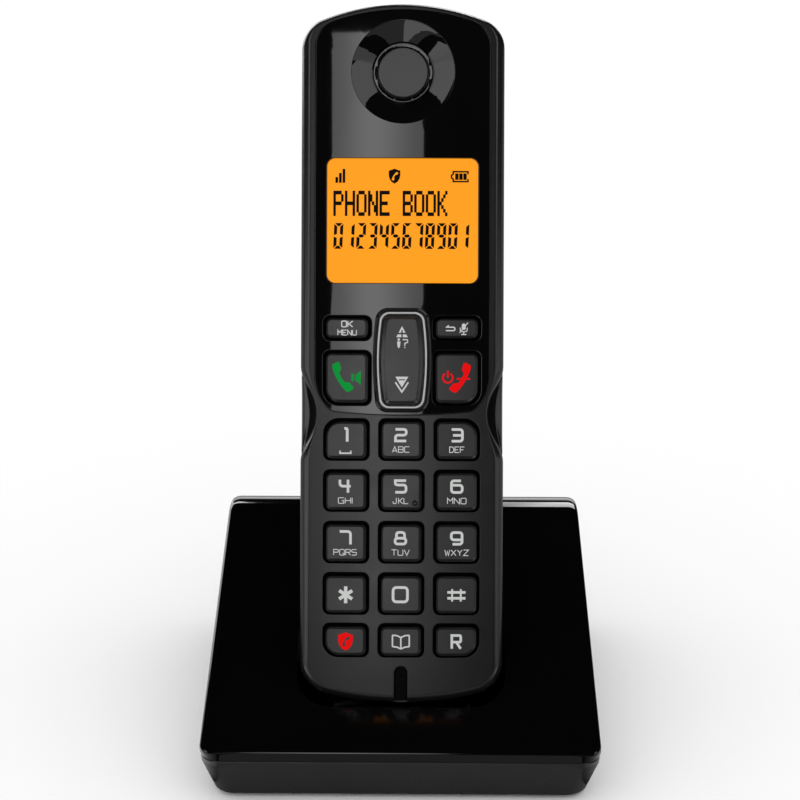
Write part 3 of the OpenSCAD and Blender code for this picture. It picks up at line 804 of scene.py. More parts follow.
def key_cap(name):
    """A key with its shoulders. The middle number key has a raised point for a fingertip."""
    low, high = hand_box(name)
    x0, x1, z0, z1 = low.x + FLANGE, high.x - FLANGE, low.z + FLANGE, high.z - FLANGE
    cx, cz = (x0 + x1) / 2, (z0 + z1) / 2
    tall = z1 - z0 > 7
    left, right = 1.1, 1.3
    over, under = (1.1, 1.35) if tall else (1.05, 1.2)
    base_r, top_r = [1.3] * 4, [0.75] * 4
    if name in LONG_CORNERS:
        base_r[LONG_CORNERS[name]], top_r[LONG_CORNERS[name]] = 3.3, 2.7
    base = rounded_box(x0 + KEY_GAP, x1 - KEY_GAP, z0 + KEY_GAP, z1 - KEY_GAP, base_r)
    top = rounded_box(x0 + left, x1 - right, z0 + under, z1 - over, top_r)
    shell, face = key_shape(base, top, opening(name, 0.5), [(cx, cz)], at_top)
    if name == "key_5":
        # A point for a fingertip in a shallow ring, as (radius, y).
        nub = [(0.74, -1.2), (0.68, -1.17), (0.62, -1.0), (0.52, -0.95), (0.44, -1.05), (0.4, -1.3),
               (0.3, -1.42), (0.15, -1.47)]
        rings = [shell.ring(circle(cx + 3.15, cz - 2.65, r, 24), y) for r, y in nub]
        shell.bridge(*rings)
        shell.fill(face, [rings[0]])
        face = rings[-1]
    shell.fill(face)
    # Below the surface the cap gets painted shade.
    paint_skirt_shade(piece(name + "_cap", shell, HAND, name, "key_matte", [name]))
    return cx, cz


def paint_skirt_shade(obj):
    """Paints shade on the part of a key below the surface: it turns near-black, like the shaded gap round it."""
    obj.data.materials.append(PAINTED_SHADE_BLACK)
    for face in obj.data.polygons:
        face.material_index = int((HAND.inverted() @ face.center).y > 0)


def rocker_surface(z):
    """The navigation key's two halves lean towards its middle."""
    return KEY_TOP + 0.3 - 0.3 * min(1.0, abs(z - NAV_Z) / 9.6)


def nav_rocker():
    """The navigation key. Its top is split across the middle, where its two halves meet."""
    frame_w = 2 * (RING_T + RING_GAP)
    width, height = NAV_W - frame_w, NAV_H - frame_w
    base = barrel(NAV_Z, width, height, 0.9, 1.5)
    top = barrel(NAV_Z, width - 1.8, height - 1.6, 0.8, 0.9)
    stems = [(0, NAV_Z - 7), (0, NAV_Z + 7)]
    shell, face = key_shape(base, top, inset(base, 0.2), stems, rocker_surface)
    middle = len(face) // 2
    shell.faces += [face[-1:] + face[:middle], face[middle - 1:]]
    body = "nav_rocker"
    # Below the surface the rocker gets painted shade.
    paint_skirt_shade(piece("nav_rocker_cap", shell, HAND, body, "key_matte", [body], crease=1.2))


# ---- Printed marks ----

GLYPHS = {  # points on a grid of eight by eight. A mark after a point keeps its corner sharp.
    "0": "00 08 88 80 00", "1": "18 48 40", "2": "08 88 84 04 00' 80", "3": "08 88 80 00|14 84",
    "4": "08 04 84|68 60", "5": "88 08' 05 85 80 00", "6": "78 08 00 80 85 05", "7": "08 88 80",
    "8": "14 18 78 74|04 84 80 00 04", "9": "10 80 88 08 03 83",
    "A": "00 48' 80|22 62", "B": "04 84 88 08' 00' 80 84", "C": "88 08 00 80", "D": "00' 08' 68 85 83 60 00'",
    "E": "88 08' 00' 80|04 64", "F": "88 08' 00|04 64", "G": "88 08 00 80' 84' 54", "H": "00 08|80 88|04 84",
    "I": "00 08", "J": "68 60 00 03", "K": "00 08|88 24' 80|04 24", "L": "08 00' 80",
    "M": "00 08' 44' 88' 80", "N": "00 08' 80' 88", "O": "00 08 88 80 00", "P": "00 08' 88 84 04",
    "Q": "00 08 88 80 00|53 90",
    "R": "00 08' 88 84 04|44 80", "S": "88 08 04 84 80 00", "T": "08 88|48 40", "U": "08 00 80 88",
    "V": "08 40' 88", "W": "08 20' 46' 60' 88", "X": "00 88|08 80", "Y": "08 44' 88|44 40",
    "Z": "08 88' 00' 80",
}
PRINT_T = 0.022


def path_points(path):
    """A path's points, and whether it ends where it starts. That point is then given once."""
    closed = math.dist(path[0], path[-1]) < 1e-6
    return [Vector(p) for p in (path[:-1] if closed else path)], closed


def rounded_path(path, r, sharp=()):
    """A path with its corners rounded by r, save those at the places that sharp lists."""
    points, closed = path_points(path)
    n, turned = len(points), []
    for i, p in enumerate(points):
        if i in sharp or not closed and i in (0, n - 1):
            turned.append(tuple(p))
            continue
        a, b = points[i - 1] - p, points[(i + 1) % n] - p
        reach_a, reach_b = min(r, a.length * 0.48), min(r, b.length * 0.48)
        first, last = p + a.normalized() * reach_a, p + b.normalized() * reach_b
        for k in range(6):
            t = k / 5
            turned.append(tuple(first * (1 - t) ** 2 + p * (2 * t * (1 - t)) + last * t * t))
    return (turned + turned[:1]) if closed else turned


def ribbon(shell, path, width, surface):
    """A printed line along a path, a little proud of the surface."""
    points, closed = path_points(path)
    n, sides = len(points), ([], [])
    for i, p in enumerate(points):
        before = (p - points[i - 1]).normalized() if closed or i else None
        after = (points[(i + 1) % n] - p).normalized() if closed or i < n - 1 else None
        before, after = before or after, after or before
        middle = (before + after).normalized()
        step = width / 2 / max(0.35, middle.dot(after))
        across = Vector((-middle.y, middle.x)) * step
        sides[0].append(tuple(p + across))
        sides[1].append(tuple(p - across))
    rows = []
    for side in sides:
        for lift in (-PRINT_T, PRINT_T):
            rows.append(shell.add([(x, surface(z) + lift, z) for x, z in side]))
    left_out, left_in, right_out, right_in = rows
    for a, b in ((left_out, right_out), (right_in, left_in), (left_in, left_out), (right_out, right_in)):
        last = n if closed else n - 1
        shell.faces += [(a[i], a[(i + 1) % n], b[(i + 1) % n], b[i]) for i in range(last)]
    if not closed:
        shell.faces += [(r[0][k], r[1][k], r[2][k], r[3][k])
                        for r in [(left_out, left_in, right_in, right_out)] for k in (0, n - 1)]


def patch(shell, loop, surface, holes=()):
    """A printed filled shape, a little proud of the surface."""
    fronts, backs = [], []
    for ring in [loop, *holes]:
        fronts.append(shell.add([(x, surface(z) - PRINT_T, z) for x, z in ring]))
        backs.append(shell.add([(x, surface(z) + PRINT_T, z) for x, z in ring]))
        shell.bridge(fronts[-1], backs[-1])
    shell.fill(fronts[0], fronts[1:])
    shell.fill(backs[0], backs[1:])


def write(shell, text, x, z, width, height, stroke, surface, corner=0.3):
    """A line of text, width wide in all, about (x, z). corner is its rounding as a share of its height."""
    thin, gap = {"I": 0.0, "1": 0.55}, 0.28
    units = [thin.get(c, 1.0) for c in text]
    span = sum(units) + gap * (len(text) - 1)
    unit = (width - stroke) / span
    tall = (height - stroke) / 8
    place = x - (width - stroke) / 2
    for letter, share in zip(text, units):
        for k, line in enumerate(GLYPHS[letter].split("|")):
            stops = line.split()
            points = [(place + int(p[0]) * unit / 8, z + (int(p[1]) - 4) * tall) for p in stops]
            sharp = [i for i, p in enumerate(stops) if p.endswith("'")]
            path = rounded_path(points, corner * height, sharp)
            ribbon(shell, path, stroke, above(surface, 0.004 * k))
        place += (share + gap) * unit


def receiver(x, z, size, tilt, mirror=1):
    """A telephone receiver's outline: a slim bowed grip with a pad at each end."""
    outer, inner, pad, neck = 1.7, 1.56, 1.45, 8
    half = [(outer, a) for a in (3, 6, 9, 12, 14.5)]
    half += [(outer - 0.02, 16.5), (outer - 0.06, 17.3), (pad + 0.06, 18.6), (pad + 0.02, 18.2), (pad, 17)]
    half += [(pad, neck + 1.8), (pad + 0.03, neck + 0.4), (inner, neck - 2), (inner, 2.5)]
    polar = [(outer, 0)] + half + [(inner, 0)] + [(r, -a) for r, a in reversed(half)]
    c, s = math.cos(math.radians(tilt)), math.sin(math.radians(tilt))
    loop = []
    for r, a in polar:
        u, v = size * (1.58 - r * math.cos(math.radians(a))), size * r * math.sin(math.radians(a))
        loop.append((x + mirror * (u * c - v * s), z + u * s + v * c))
    return oriented(loop)


def shield(x, z, width, height):
    """A shield's outline, counterclockwise."""
    w, h = width / 2, height / 2
    right = [(w, h * 0.72), (w, h * 0.1), (w * 0.86, -h * 0.35), (w * 0.52, -h * 0.75), (0, -h)]
    left = [(-a, b) for a, b in reversed(right[:-1])]
    crown = [(-w * 0.5, h * 0.86), (0, h), (w * 0.5, h * 0.86)]
    return [(x + a, z + b) for a, b in reversed(right + left + crown)]


def oriented(loop):
    """The loop, made counterclockwise."""
    area = sum(a[0] * b[1] - b[0] * a[1] for a, b in zip(loop, loop[1:] + loop[:1]))
    return loop if area > 0 else loop[::-1]


def number_marks(shell, digit, cx, cz):
    """The digit and letters on a number key."""
    letters = {"2": ("ABC", 4.1), "3": ("DEF", 3.6), "4": ("GHI", 3.4), "5": ("JKL", 3.65),
               "6": ("MNO", 4.5), "7": ("PQRS", 5.5), "8": ("TUV", 4.3), "9": ("WXYZ", 5.65)}
    cx -= 0.18 if cx < 5 else 0.0
    if digit == "0":
        write(shell, "0", cx, cz + 0.1, 3.95, 3.95, 0.62, at_top, corner=0.22)
    elif digit == "1":
        write(shell, "1", cx, cz + 1.22, 1.6, 3.7, 0.62, at_top, corner=0.12)
        foot = [(cx - 1.25, cz - 2.4), (cx - 1.25, cz - 3.0), (cx + 1.25, cz - 3.0), (cx + 1.25, cz - 2.4)]
        ribbon(shell, foot, 0.34, at_top)
    else:
        tall = 3.6 if digit in "47" else 3.3
        write(shell, digit, cx, cz + 1.25, 3.1, tall, 0.6, at_top, corner=0.21)
    if digit in letters:
        text, width = letters[digit]
        write(shell, text, cx, cz - 2.08, width, 1.48, 0.18, at_top, corner=0.2)


def star_mark(shell, cx, cz):
    for turn in range(3):
        a = math.radians(90 + 60 * turn)
        reach_x, reach_z = 1.75 * math.cos(a), 1.95 * math.sin(a)
        ends = [(cx - reach_x, cz - reach_z), (cx + reach_x, cz + reach_z)]
        ribbon(shell, ends, 0.78, above(at_top, PRINT_T * 0.3 * turn))


def hash_mark(shell, cx, cz):
    for side in (-1, 1):
        ribbon(shell, [(cx - 2.1, cz + side * 0.68), (cx + 2.1, cz + side * 0.68)], 0.6, at_top)
        ribbon(shell, [(cx + side, cz - 1.45), (cx + side, cz + 1.45)], 0.42, above(at_top, PRINT_T * 0.3))


def block_mark(shell, cx, cz):
    patch(shell, shield(cx, cz, 3.4, 4.2), at_top, [receiver(cx, cz + 0.1, 2.5, -32)])


def book_mark(shell, cx, cz):
    for side in (-1, 1):
        page = [(0, -1.65), (0.9, -1.2), (1.95, -1.1), (1.95, 1.55), (0.9, 1.45), (0, 1.0), (0, -1.65)]
        outline = [(cx + side * x, cz + z) for x, z in page]
        ribbon(shell, rounded_path(outline, 0.25), 0.34, above(at_top, side * 0.004))


def recall_mark(shell, cx, cz):
    write(shell, "R", cx, cz, 2.65, 3.65, 0.58, at_top, corner=0.1)


def menu_marks(shell, cx, cz):
    write(shell, "OK", cx, cz + 0.95, 2.8, 1.6, 0.26, at_top, corner=0.18)
    write(shell, "MENU", cx, cz - 1.05, 4.5, 1.35, 0.2, at_top, corner=0.18)


def back_marks(shell, cx, cz):
    """A returning arrow, and a microphone with a stroke through it."""
    x, z = cx - 1.4, cz - 0.1
    turn = [(x - 1.2, z + 0.38), (x + 0.9, z + 0.38), (x + 0.9, z - 0.42), (x - 1.2, z - 0.42)]
    ribbon(shell, rounded_path(turn, 0.4), 0.28, at_top)
    patch(shell, oriented([(x - 1.3, z + 0.3), (x - 0.5, z + 0.95), (x - 0.5, z + 0.3)]), at_top)
    x = cx + 1.55
    patch(shell, rounded_box(x - 0.45, x + 0.45, cz - 0.35, cz + 1.15, [0.42] * 4, 5), at_top)
    cup = [(x - 0.8, cz + 0.2), (x - 0.8, cz - 0.75), (x + 0.8, cz - 0.75), (x + 0.8, cz + 0.2)]
    ribbon(shell, rounded_path(cup, 0.6), 0.22, at_top)
    ribbon(shell, [(x, cz - 0.75), (x, cz - 1.35)], 0.24, above(at_top, 0.004))
    ribbon(shell, [(x - 0.6, cz - 1.4), (x + 0.6, cz - 1.4)], 0.24, above(at_top, 0.007))
    ribbon(shell, [(x - 0.95, cz - 1.0), (x + 1.0, cz + 1.35)], 0.22, above(at_top, 0.01))


def talk_marks(shell, cx, cz):
    """A receiver and a loudspeaker."""
    patch(shell, receiver(cx - 1.4, cz, 7.6, 30), at_top)
    x, z = cx + 2.1, cz + 0.1
    patch(shell, rounded_box(x - 1.05, x - 0.5, z - 0.85, z + 0.85, [0.1] * 4, 2), at_top)
    horn = [(x - 0.15, z - 0.6), (x + 1.1, z - 1.65), (x + 1.1, z + 1.65), (x - 0.15, z + 0.6)]
    patch(shell, oriented(horn), at_top)


def end_marks(shell, cx, cz):
    """A receiver with a stroke through it, and a switch's symbol."""
    x = cx + 1.2
    patch(shell, receiver(x, cz - 0.1, 7.6, 30, -1), at_top)
    ribbon(shell, [(x - 1.2, cz - 0.1), (x + 1.9, cz - 0.1)], 0.42, above(at_top, 0.006))
    x, z = cx - 2.1, cz + 0.15
    ribbon(shell, arc(x, z, 1.15, 125, 415, 24), 0.42, at_top)
    ribbon(shell, [(x, z), (x, z + 1.65)], 0.42, above(at_top, 0.006))


def nav_marks():
    """The signs on the navigation key: an arrow up, a figure with a query, and an arrow down."""
    shell = Shell()
    top, low = NAV_Z + 7.9, NAV_Z + 5.3
    for side in (-1, 1):
        half = [(side * 0.17, low + 0.65), (side * 0.17, low), (side * 1.35, low), (side * 0.98, low + 0.65)]
        patch(shell, oriented(half), rocker_surface)
        upper = [(side * 0.17, low + 1.05), (side * 0.8, low + 1.05), (side * 0.17, low + 2.25)]
        patch(shell, oriented(upper), rocker_surface)
    tip = [(-0.17, low + 1.65), (0.17, low + 1.65), (0.17, top - 0.42), (0, top), (-0.17, top - 0.42)]
    patch(shell, oriented(tip), above(rocker_surface, 0.004))
    x, z = -0.75, NAV_Z + 3.75
    patch(shell, circle(x, z + 1.0, 0.3, 16), rocker_surface)
    body = [(x - 0.42, z + 0.55), (x + 0.42, z + 0.55), (x + 0.25, z - 0.7), (x, z - 1.05),
            (x - 0.25, z - 0.7)]
    patch(shell, oriented(body), rocker_surface)
    x = 0.75
    query = [(x - 0.6, z + 1.0), (x + 0.55, z + 1.0), (x + 0.55, z + 0.25), (x - 0.1, z + 0.25),
             (x - 0.1, z - 0.45)]
    ribbon(shell, rounded_path(query, 0.3), 0.26, rocker_surface)
    patch(shell, rounded_box(x - 0.24, x + 0.04, z - 0.95, z - 0.68, [0.05] * 4, 2), rocker_surface)
    top, low = NAV_Z - 3.85, NAV_Z - 6.35
    wedge = oriented([(-1.5, top), (1.5, top), (0, low)])
    slot = rounded_box(-0.75, 0.75, top - 0.85, top - 0.6, [0.05] * 4, 2)
    patch(shell, wedge, rocker_surface, [slot])
    chevron = [(-1.5, top - 1.3), (0, low - 1.05), (1.5, top - 1.3)]
    ribbon(shell, chevron, 0.36, above(rocker_surface, 0.004))
    piece("mark_nav", shell, HAND, "nav_rocker", "key_matte", material=PRINT_GREY)


MARKS = {"star": star_mark, "hash": hash_mark, "block": block_mark, "book": book_mark, "recall": recall_mark,
         "menu": menu_marks, "back": back_marks, "talk": talk_marks, "end": end_marks}
INKS = {"block": PRINT_RED, "talk": PRINT_GREEN, "end": PRINT_RED}


def keys():
    """Every key, each followed by its printed mark."""
    for name in NUMBER_KEYS + UPPER_KEYS:
        cx, cz = key_cap(name)
        shell, sign = Shell(), name[len("key_"):]
        if sign in MARKS:
            MARKS[sign](shell, cx, cz)
        else:
            number_marks(shell, sign, cx, cz)
        piece("mark_" + sign, shell, HAND, name, "key_matte", material=INKS.get(sign, PRINT_GREY))
    nav_rocker()
    nav_marks()


# ---- What the display shows ----

DOTS = {  # rows from the top, five cells each
    "P": "11110 10001 10001 11110 10000 10000 10000", "H": "10001 10001 10001 11111 10001 10001 10001",
    "O": "01110 10001 10001 10001 10001 10001 01110", "N": "10001 11001 11001 10101 10011 10011 10001",
    "E": "11111 10000 10000 11110 10000 10000 11111", "B": "11110 10001 10001 11110 10001 10001 11110",
    "K": "10001 10010 10100 11000 10100 10010 10001",
}
SEGMENTS = {"0": "abcdef", "1": "bc", "2": "abged", "3": "abgcd", "4": "fgbc", "5": "afgcd", "6": "afgedc",
            "7": "abc", "8": "abcdefg", "9": "abcdfg"}
SCREEN_Y = WINDOW_LOW.y - 0.035


def on_screen(z):
    return SCREEN_Y


def runs(column):
    """Where each run of dots in a column starts, and how many dots it has."""
    starts = [row for row, dot in enumerate(column) if dot == "1" and column[row - 1:row] != "1"]
    return [(row, len(column[row:].split("0")[0])) for row in starts]


def dot_text(shell, text, x, top, cell_w, cell_h):
    """Text in dots that touch, drawn as one bar for each run of dots in a column."""
    for letter in text:
        columns = zip(*DOTS[letter].split()) if letter in DOTS else []
        for k, column in enumerate(columns):
            for row, count in runs("".join(column)):
                x0, x1 = x + k * cell_w - 0.07, x + k * cell_w + cell_w + 0.07
                z1 = top - row * cell_h
                bar = rounded_box(x0, x1, z1 - count * cell_h - 0.02, z1 + 0.02, [0.04] * 4, 1)
                patch(shell, bar, above(on_screen, 0.002 * (k % 2)))
        x += 6 * cell_w


def segment_text(shell, text, x, z, width, height, pitch):
    """Seven-segment digits that lean a little to the right."""
    thick, gap = 0.72, 0.1
    half = height / 2

    def lean(points):
        return oriented([(a + (b - z) * 0.045, b) for a, b in points])

    for digit in text:
        x1, x0 = x + width, x
        tiers = {"a": (z + half, -1), "d": (z - half, 1)}
        for key in SEGMENTS[digit]:
            if key in tiers:
                edge, way = tiers[key]
                points = [(x0 + gap * 2, edge), (x1 - gap * 2, edge), (x1 - thick - gap, edge + way * thick),
                          (x0 + thick + gap, edge + way * thick)]
            elif key == "g":
                points = [(x0 + gap + 0.25, z), (x0 + thick, z + thick / 2), (x1 - thick, z + thick / 2),
                          (x1 - gap - 0.25, z), (x1 - thick, z - thick / 2), (x0 + thick, z - thick / 2)]
            else:
                side = 1 if key in "bc" else -1
                outer = x1 if side > 0 else x0
                inner = outer - side * thick
                way = 1 if key in "bf" else -1
                points = [(outer, z + way * gap * 1.4), (outer, z + way * (half - gap * 2)),
                          (inner, z + way * (half - thick - gap)), (inner, z + way * (gap + thick / 2))]
            patch(shell, lean(points), on_screen)
        x += pitch


def screen_marks():
    """Signal bars, a shield with a receiver, a battery, a line of text and a line of digits."""
    shell = Shell()
    high = SCREEN_Z + 12.0
    for i, tall in enumerate((1.35, 2.3, 3.25)):
        x = -15.65 + 0.83 * i
        patch(shell, rounded_box(x, x + 0.62, high - 3.25, high - 3.25 + tall, [0.03] * 4, 1), on_screen)
    patch(shell, shield(-1.9, high - 1.7, 2.7, 3.5), on_screen, [receiver(-1.9, high - 1.65, 2.2, -32)])
    right, left, middle = 15.2, 11.75, high - 1.75
    case = [(right, middle - 0.55), (right, middle - 1.15), (left, middle - 1.15), (left, middle - 0.55),
            (left - 0.4, middle - 0.3), (left - 0.4, middle + 0.3), (left, middle + 0.55),
            (left, middle + 1.15), (right, middle + 1.15), (right, middle + 0.55)]
    ribbon(shell, case, 0.36, on_screen)
    for i in range(3):
        x = left + 0.45 + 0.95 * i
        patch(shell, rounded_box(x, x + 0.8, middle - 0.75, middle + 0.75, [0.03] * 4, 1), on_screen)
    dot_text(shell, "PHONE BOOK", -16.05, SCREEN_Z + 6.9, 0.448, 0.835)
    segment_text(shell, "012345678901", -16.0, SCREEN_Z - 3.6, 2.12, 6.0, 2.665)
    piece("display_marks", shell, HAND, "handset", "display_window", material=SEGMENT_BLACK)


# ---- The base ----

BASE_LOW, BASE_HIGH = base_box("base_lower_housing")
HALF_X, FRONT, BACK = BASE_HIGH.x, BASE_LOW.y, BASE_HIGH.y
BASE_SEAM = BASE_HIGH.z
FRONT_H, SLOPE = 13.6, math.radians(18.9)
RIDGE_R, WALL = 12.0, 2.0
RIDGE_Y = BACK - RIDGE_R
RIDGE_Z = base_box("base_top_shell")[1].z - RIDGE_R
SCREWS = [(x, y) for x in (-36.5, 36.5) for y in (-26, 27)]
FEET = [(x, y) for x in (-35, 35) for y in (-37.5, 37.5)]
FEET_R = 4.5
EDGE_R, FILLET = 0.8, 1.1
# A side profile's last point of the front fillet, where the slope starts, and its stations in from each side.
FRONT_TOP = 8
SIDE_STEPS = [0.0, 0.03, 0.12, 0.26, 0.44, 0.62, EDGE_R, 1.2, 1.8, 2.5, 3.4, 4.6]
TO_BASE = BASE.inverted() @ HAND


def corner_at(r, s):
    """How far a corner of radius r is set back at a distance s from the side."""
    return r - math.sqrt(max(0.0, r * r - (r - s) ** 2)) if s < r else 0.0


def slope_z(y):
    """The height of the base's sloping top."""
    return FRONT_H + (y - FRONT) * math.tan(SLOPE)


def side_profile(s, foot):
    """The base's side view at s in from its side: up the front, over the ridge and down the back."""
    drop = corner_at(EDGE_R, s)
    front_top, front_foot = FRONT + corner_at(2.5, s), FRONT + corner_at(4.6, s)
    back = corner_at(2.6, s)
    cy = front_top + FILLET
    cz = slope_z(cy) - (drop + FILLET) / math.cos(SLOPE)
    points = [(front_foot, foot), (front_foot, BASE_SEAM)]
    lean = 90 + math.degrees(SLOPE)
    points += arc(cy, cz, FILLET, 180, lean, 6)
    points += arc(RIDGE_Y - back, RIDGE_Z - back * math.tan(SLOPE), RIDGE_R - drop, lean, 0, 22)
    points += [(BACK - back - drop, BASE_SEAM), (BACK - back - drop, foot)]
    return points


def well_loop(grow):
    """The well's outline in the handset's frame, looking along the handset."""
    half, room = HALF + WELL_GAP + grow, WELL_GAP + grow
    return rounded_box(-half, half, -room, THICK + room, [8 + grow] * 4, 10)


def on_slope(x, y):
    """Where a line along the handset from (x, y) in its frame meets the base's sloping top."""
    start = TO_BASE @ Vector((x, y, 0))
    return start + ALONG * ((slope_z(start.y) - start.z) / (ALONG.z - ALONG.y * math.tan(SLOPE)))


def base_outer():
    """The outside of the base's top, with the well in it, closed below at a height that is cut off later."""
    shell = Shell(flat=(0, 1))
    foot = 2.0
    stations = [(-HALF_X + s, side_profile(s, foot)) for s in SIDE_STEPS]
    stations += [(HALF_X - s, side_profile(s, foot)) for s in reversed(SIDE_STEPS)]
    rows = [shell.add([(x, y, z) for y, z in profile]) for x, profile in stations]
    inner = [i for i, (x, _) in enumerate(stations) if abs(x) <= HALF_X - EDGE_R + 1e-9]
    for i, (a, b) in enumerate(zip(rows, rows[1:])):
        flat = i in inner and i + 1 in inner
        for k in range(len(a)):
            if flat and k == FRONT_TOP:
                continue
            n = (k + 1) % len(a)
            shell.faces.append((a[k], a[n], b[n], b[k]))
    shell.faces += [rows[0], rows[-1]]
    border = [rows[i][FRONT_TOP] for i in inner] + [rows[i][FRONT_TOP + 1] for i in reversed(inner)]
    rims = []
    for grow, sink in ((0.45, 0.0), (0.3, 0.02), (0.14, 0.12), (0.04, 0.3), (0.0, 0.55)):
        rims.append(shell.add([tuple(on_slope(x, y) - ALONG * sink) for x, y in well_loop(grow)]))
    floor = [tuple(TO_BASE @ Vector((x, y, WELL_FLOOR))) for x, y in well_loop(0.0)]
    rims.append(shell.add(floor))
    shell.bridge(*rims)
    shell.fill(border, [rims[0]])
    shell.fill(rims[-1])
    return shell


def cavity():
    """The space inside the base's top shell, and everything below its rim."""
    top = Shell(flat=(1, 2))
    profile = [(FRONT + WALL, 4.0), (BACK - WALL, 4.0)]
    profile += arc(RIDGE_Y, RIDGE_Z, RIDGE_R - WALL, 0, 90 + math.degrees(SLOPE), 16)
    profile.append((FRONT + WALL, slope_z(FRONT + WALL) - WALL / math.cos(SLOPE)))
    sides = [top.ring(profile, x) for x in (WALL - HALF_X, HALF_X - WALL)]
    top.bridge(*sides)
    top.faces += sides
    obj = loose("cavity", top, BASE)
    combine_shell(obj, block((-60, -60, -5), (60, 60, BASE_SEAM)), BASE, "UNION")
    well = Shell(flat=(0, 1))
    well.close(*[well.ring(well_loop(WALL), z) for z in (WELL_FLOOR - WALL, 70)])
    # A copy of HAND, so that the well doesn't get the crown.
    combine_shell(obj, well, HAND.copy())
    combine_shell(obj, discs(SCREWS, 3.2, 4.5, 60, 24), BASE)
    return obj


def base_top_shell():
    """The gloss top, hollow inside, with its slots, socket openings and screw bores."""
    obj = loose("base_top_cover", base_outer(), BASE)
    combine(obj, cavity())
    slots = []
    low, high = hand_box("charge_contact_left")
    for side in (-1, 1):
        x = -side * (low.x + high.x) / 2
        slots.append(block((x - 1.6, 12, -4), (x + 1.6, 21, 1)))
    cut(obj, slots, HAND)
    holes = []
    for name in ("line_socket", "power_socket"):
        low, high = base_box(name)
        holes.append(block((low.x - 0.2, BACK - 3.5, BASE_SEAM - 2), (high.x + 0.2, BACK + 1, high.z + 0.2)))
    low, high = base_box("page_button")
    middle = (low.z + high.z) / 2
    holes.append(slab(circle(0, middle, 4.25, 48), BACK - 4, BACK + 1))
    cut(obj, holes, BASE)
    combine_shell(obj, discs(SCREWS, 1.25, 3, 15, 20), BASE)
    settle(obj, "base", "base_gloss", ["base_top_shell"])


def plan(d):
    """The base seen from above, set in by d."""
    return rounded_box(d - HALF_X, HALF_X - d, FRONT + d, BACK - d, [4.8] * 4, 10)


def base_lower_housing():
    """The matte tray, with posts inside and wells below for the screws and the feet."""
    shell = Shell(flat=(0, 1))
    floor = 2.8
    rim = [(4.8, 0), (1.0, 0), (0.62, 0.06), (0.3, 0.25), (0.1, 0.6), (0.02, 1.1), (0.1, 1.9)]
    profile = [(4.8, floor)] + [(d, BASE_SEAM - z) for d, z in rim]
    profile += [(2.35, 2.0), (2.5, 1.45), (2.8, 1.05), (3.3, BASE_LOW.z)]
    shell.close(*[shell.ring(plan(d), z) for d, z in profile])
    obj = loose("base_tray", shell, BASE)
    posts = discs(SCREWS, 4.2, floor - 0.25, 4.4)
    discs([(x, y) for x in (-27, 27) for y in (3, 38)], 2, floor - 0.25, 9.7, 20, posts)
    combine_shell(obj, posts, BASE, "UNION")
    wells = discs(SCREWS, 3, -1, 2.4)
    discs(FEET, 4.7, -1, 1.2, 32, wells)
    combine_shell(obj, wells, BASE)
    combine_shell(obj, discs(SCREWS, 1.6, 2, 6, 20), BASE)
    settle(obj, "base", "base_dark", ["base_lower_housing"])


def rubber_feet():
    """Round feet with a soft edge and a ring pressed into the face that they stand on."""
    shell = Shell(flat=(0, 1))
    profile = [(FEET_R - d, z) for d, z in ((0, 1.2), (0, 0.45), (0.1, 0.2), (0.3, 0.05), (0.6, 0))]
    profile += [(3.0, 0), (2.85, 0.06), (2.8, 0.25), (2.4, 0.25), (2.35, 0.06), (2.2, 0)]
    for x, y in FEET:
        shell.turned(x, y, profile, 40)
    piece("rubber_feet_pads", shell, BASE, "base", "foot_rubber", ["rubber_feet"])


def page_button():
    """The call button at the back, dished a little for a fingertip."""
    low, high = base_box("page_button")
    depths = [(4, 5.6), (4, 3.4), (5, 3.4), (5, 2.1), (4, 2.1), (4, 0.4), (3.88, 0.12), (3.6, 0), (3.2, 0.04),
              (2.4, 0.22), (1.2, 0.36)]
    shell = Shell()
    shell.turned(0, (low.z + high.z) / 2, [(r, high.y - depth) for r, depth in depths], 48)
    piece("page_button_cap", shell, BASE, "page_button", "button_grey", ["page_button"])


# ---- The floor, the light and the camera ----

FACE_CENTRE = HOME + ALONG * 71 * MM
LOOK_TURN, LOOK_DOWN = math.radians(0.65), math.radians(20)
LOOK = Vector((-math.sin(LOOK_TURN) * math.cos(LOOK_DOWN), math.cos(LOOK_TURN) * math.cos(LOOK_DOWN),
               -math.sin(LOOK_DOWN)))
RIGHT = Vector((math.cos(LOOK_TURN), math.sin(LOOK_TURN), 0))
UP = RIGHT.cross(LOOK)
# The camera's distance from the handset's lower end, and how far up and to the right of it the camera stands.
DISTANCE, RAISED, SHIFTED = 410.9, 71.0, -0.15
LENS, SENSOR = 79.5, 36
SKY, FLOOR, FLOOR_MIRRORED = 1.3, 0.98, 0.38


def camera():
    data = bpy.data.cameras.new("camera")
    data.lens, data.sensor_width = LENS, SENSOR
    data.clip_start, data.clip_end = 0.01, 50
    obj = linked("camera", data)
    place = HOME - LOOK * DISTANCE * MM + UP * RAISED * MM + RIGHT * SHIFTED * MM
    obj.matrix_world = Matrix.Translation(place) @ Matrix((RIGHT, UP, -LOOK)).transposed().to_4x4()
    bpy.context.scene.camera = obj


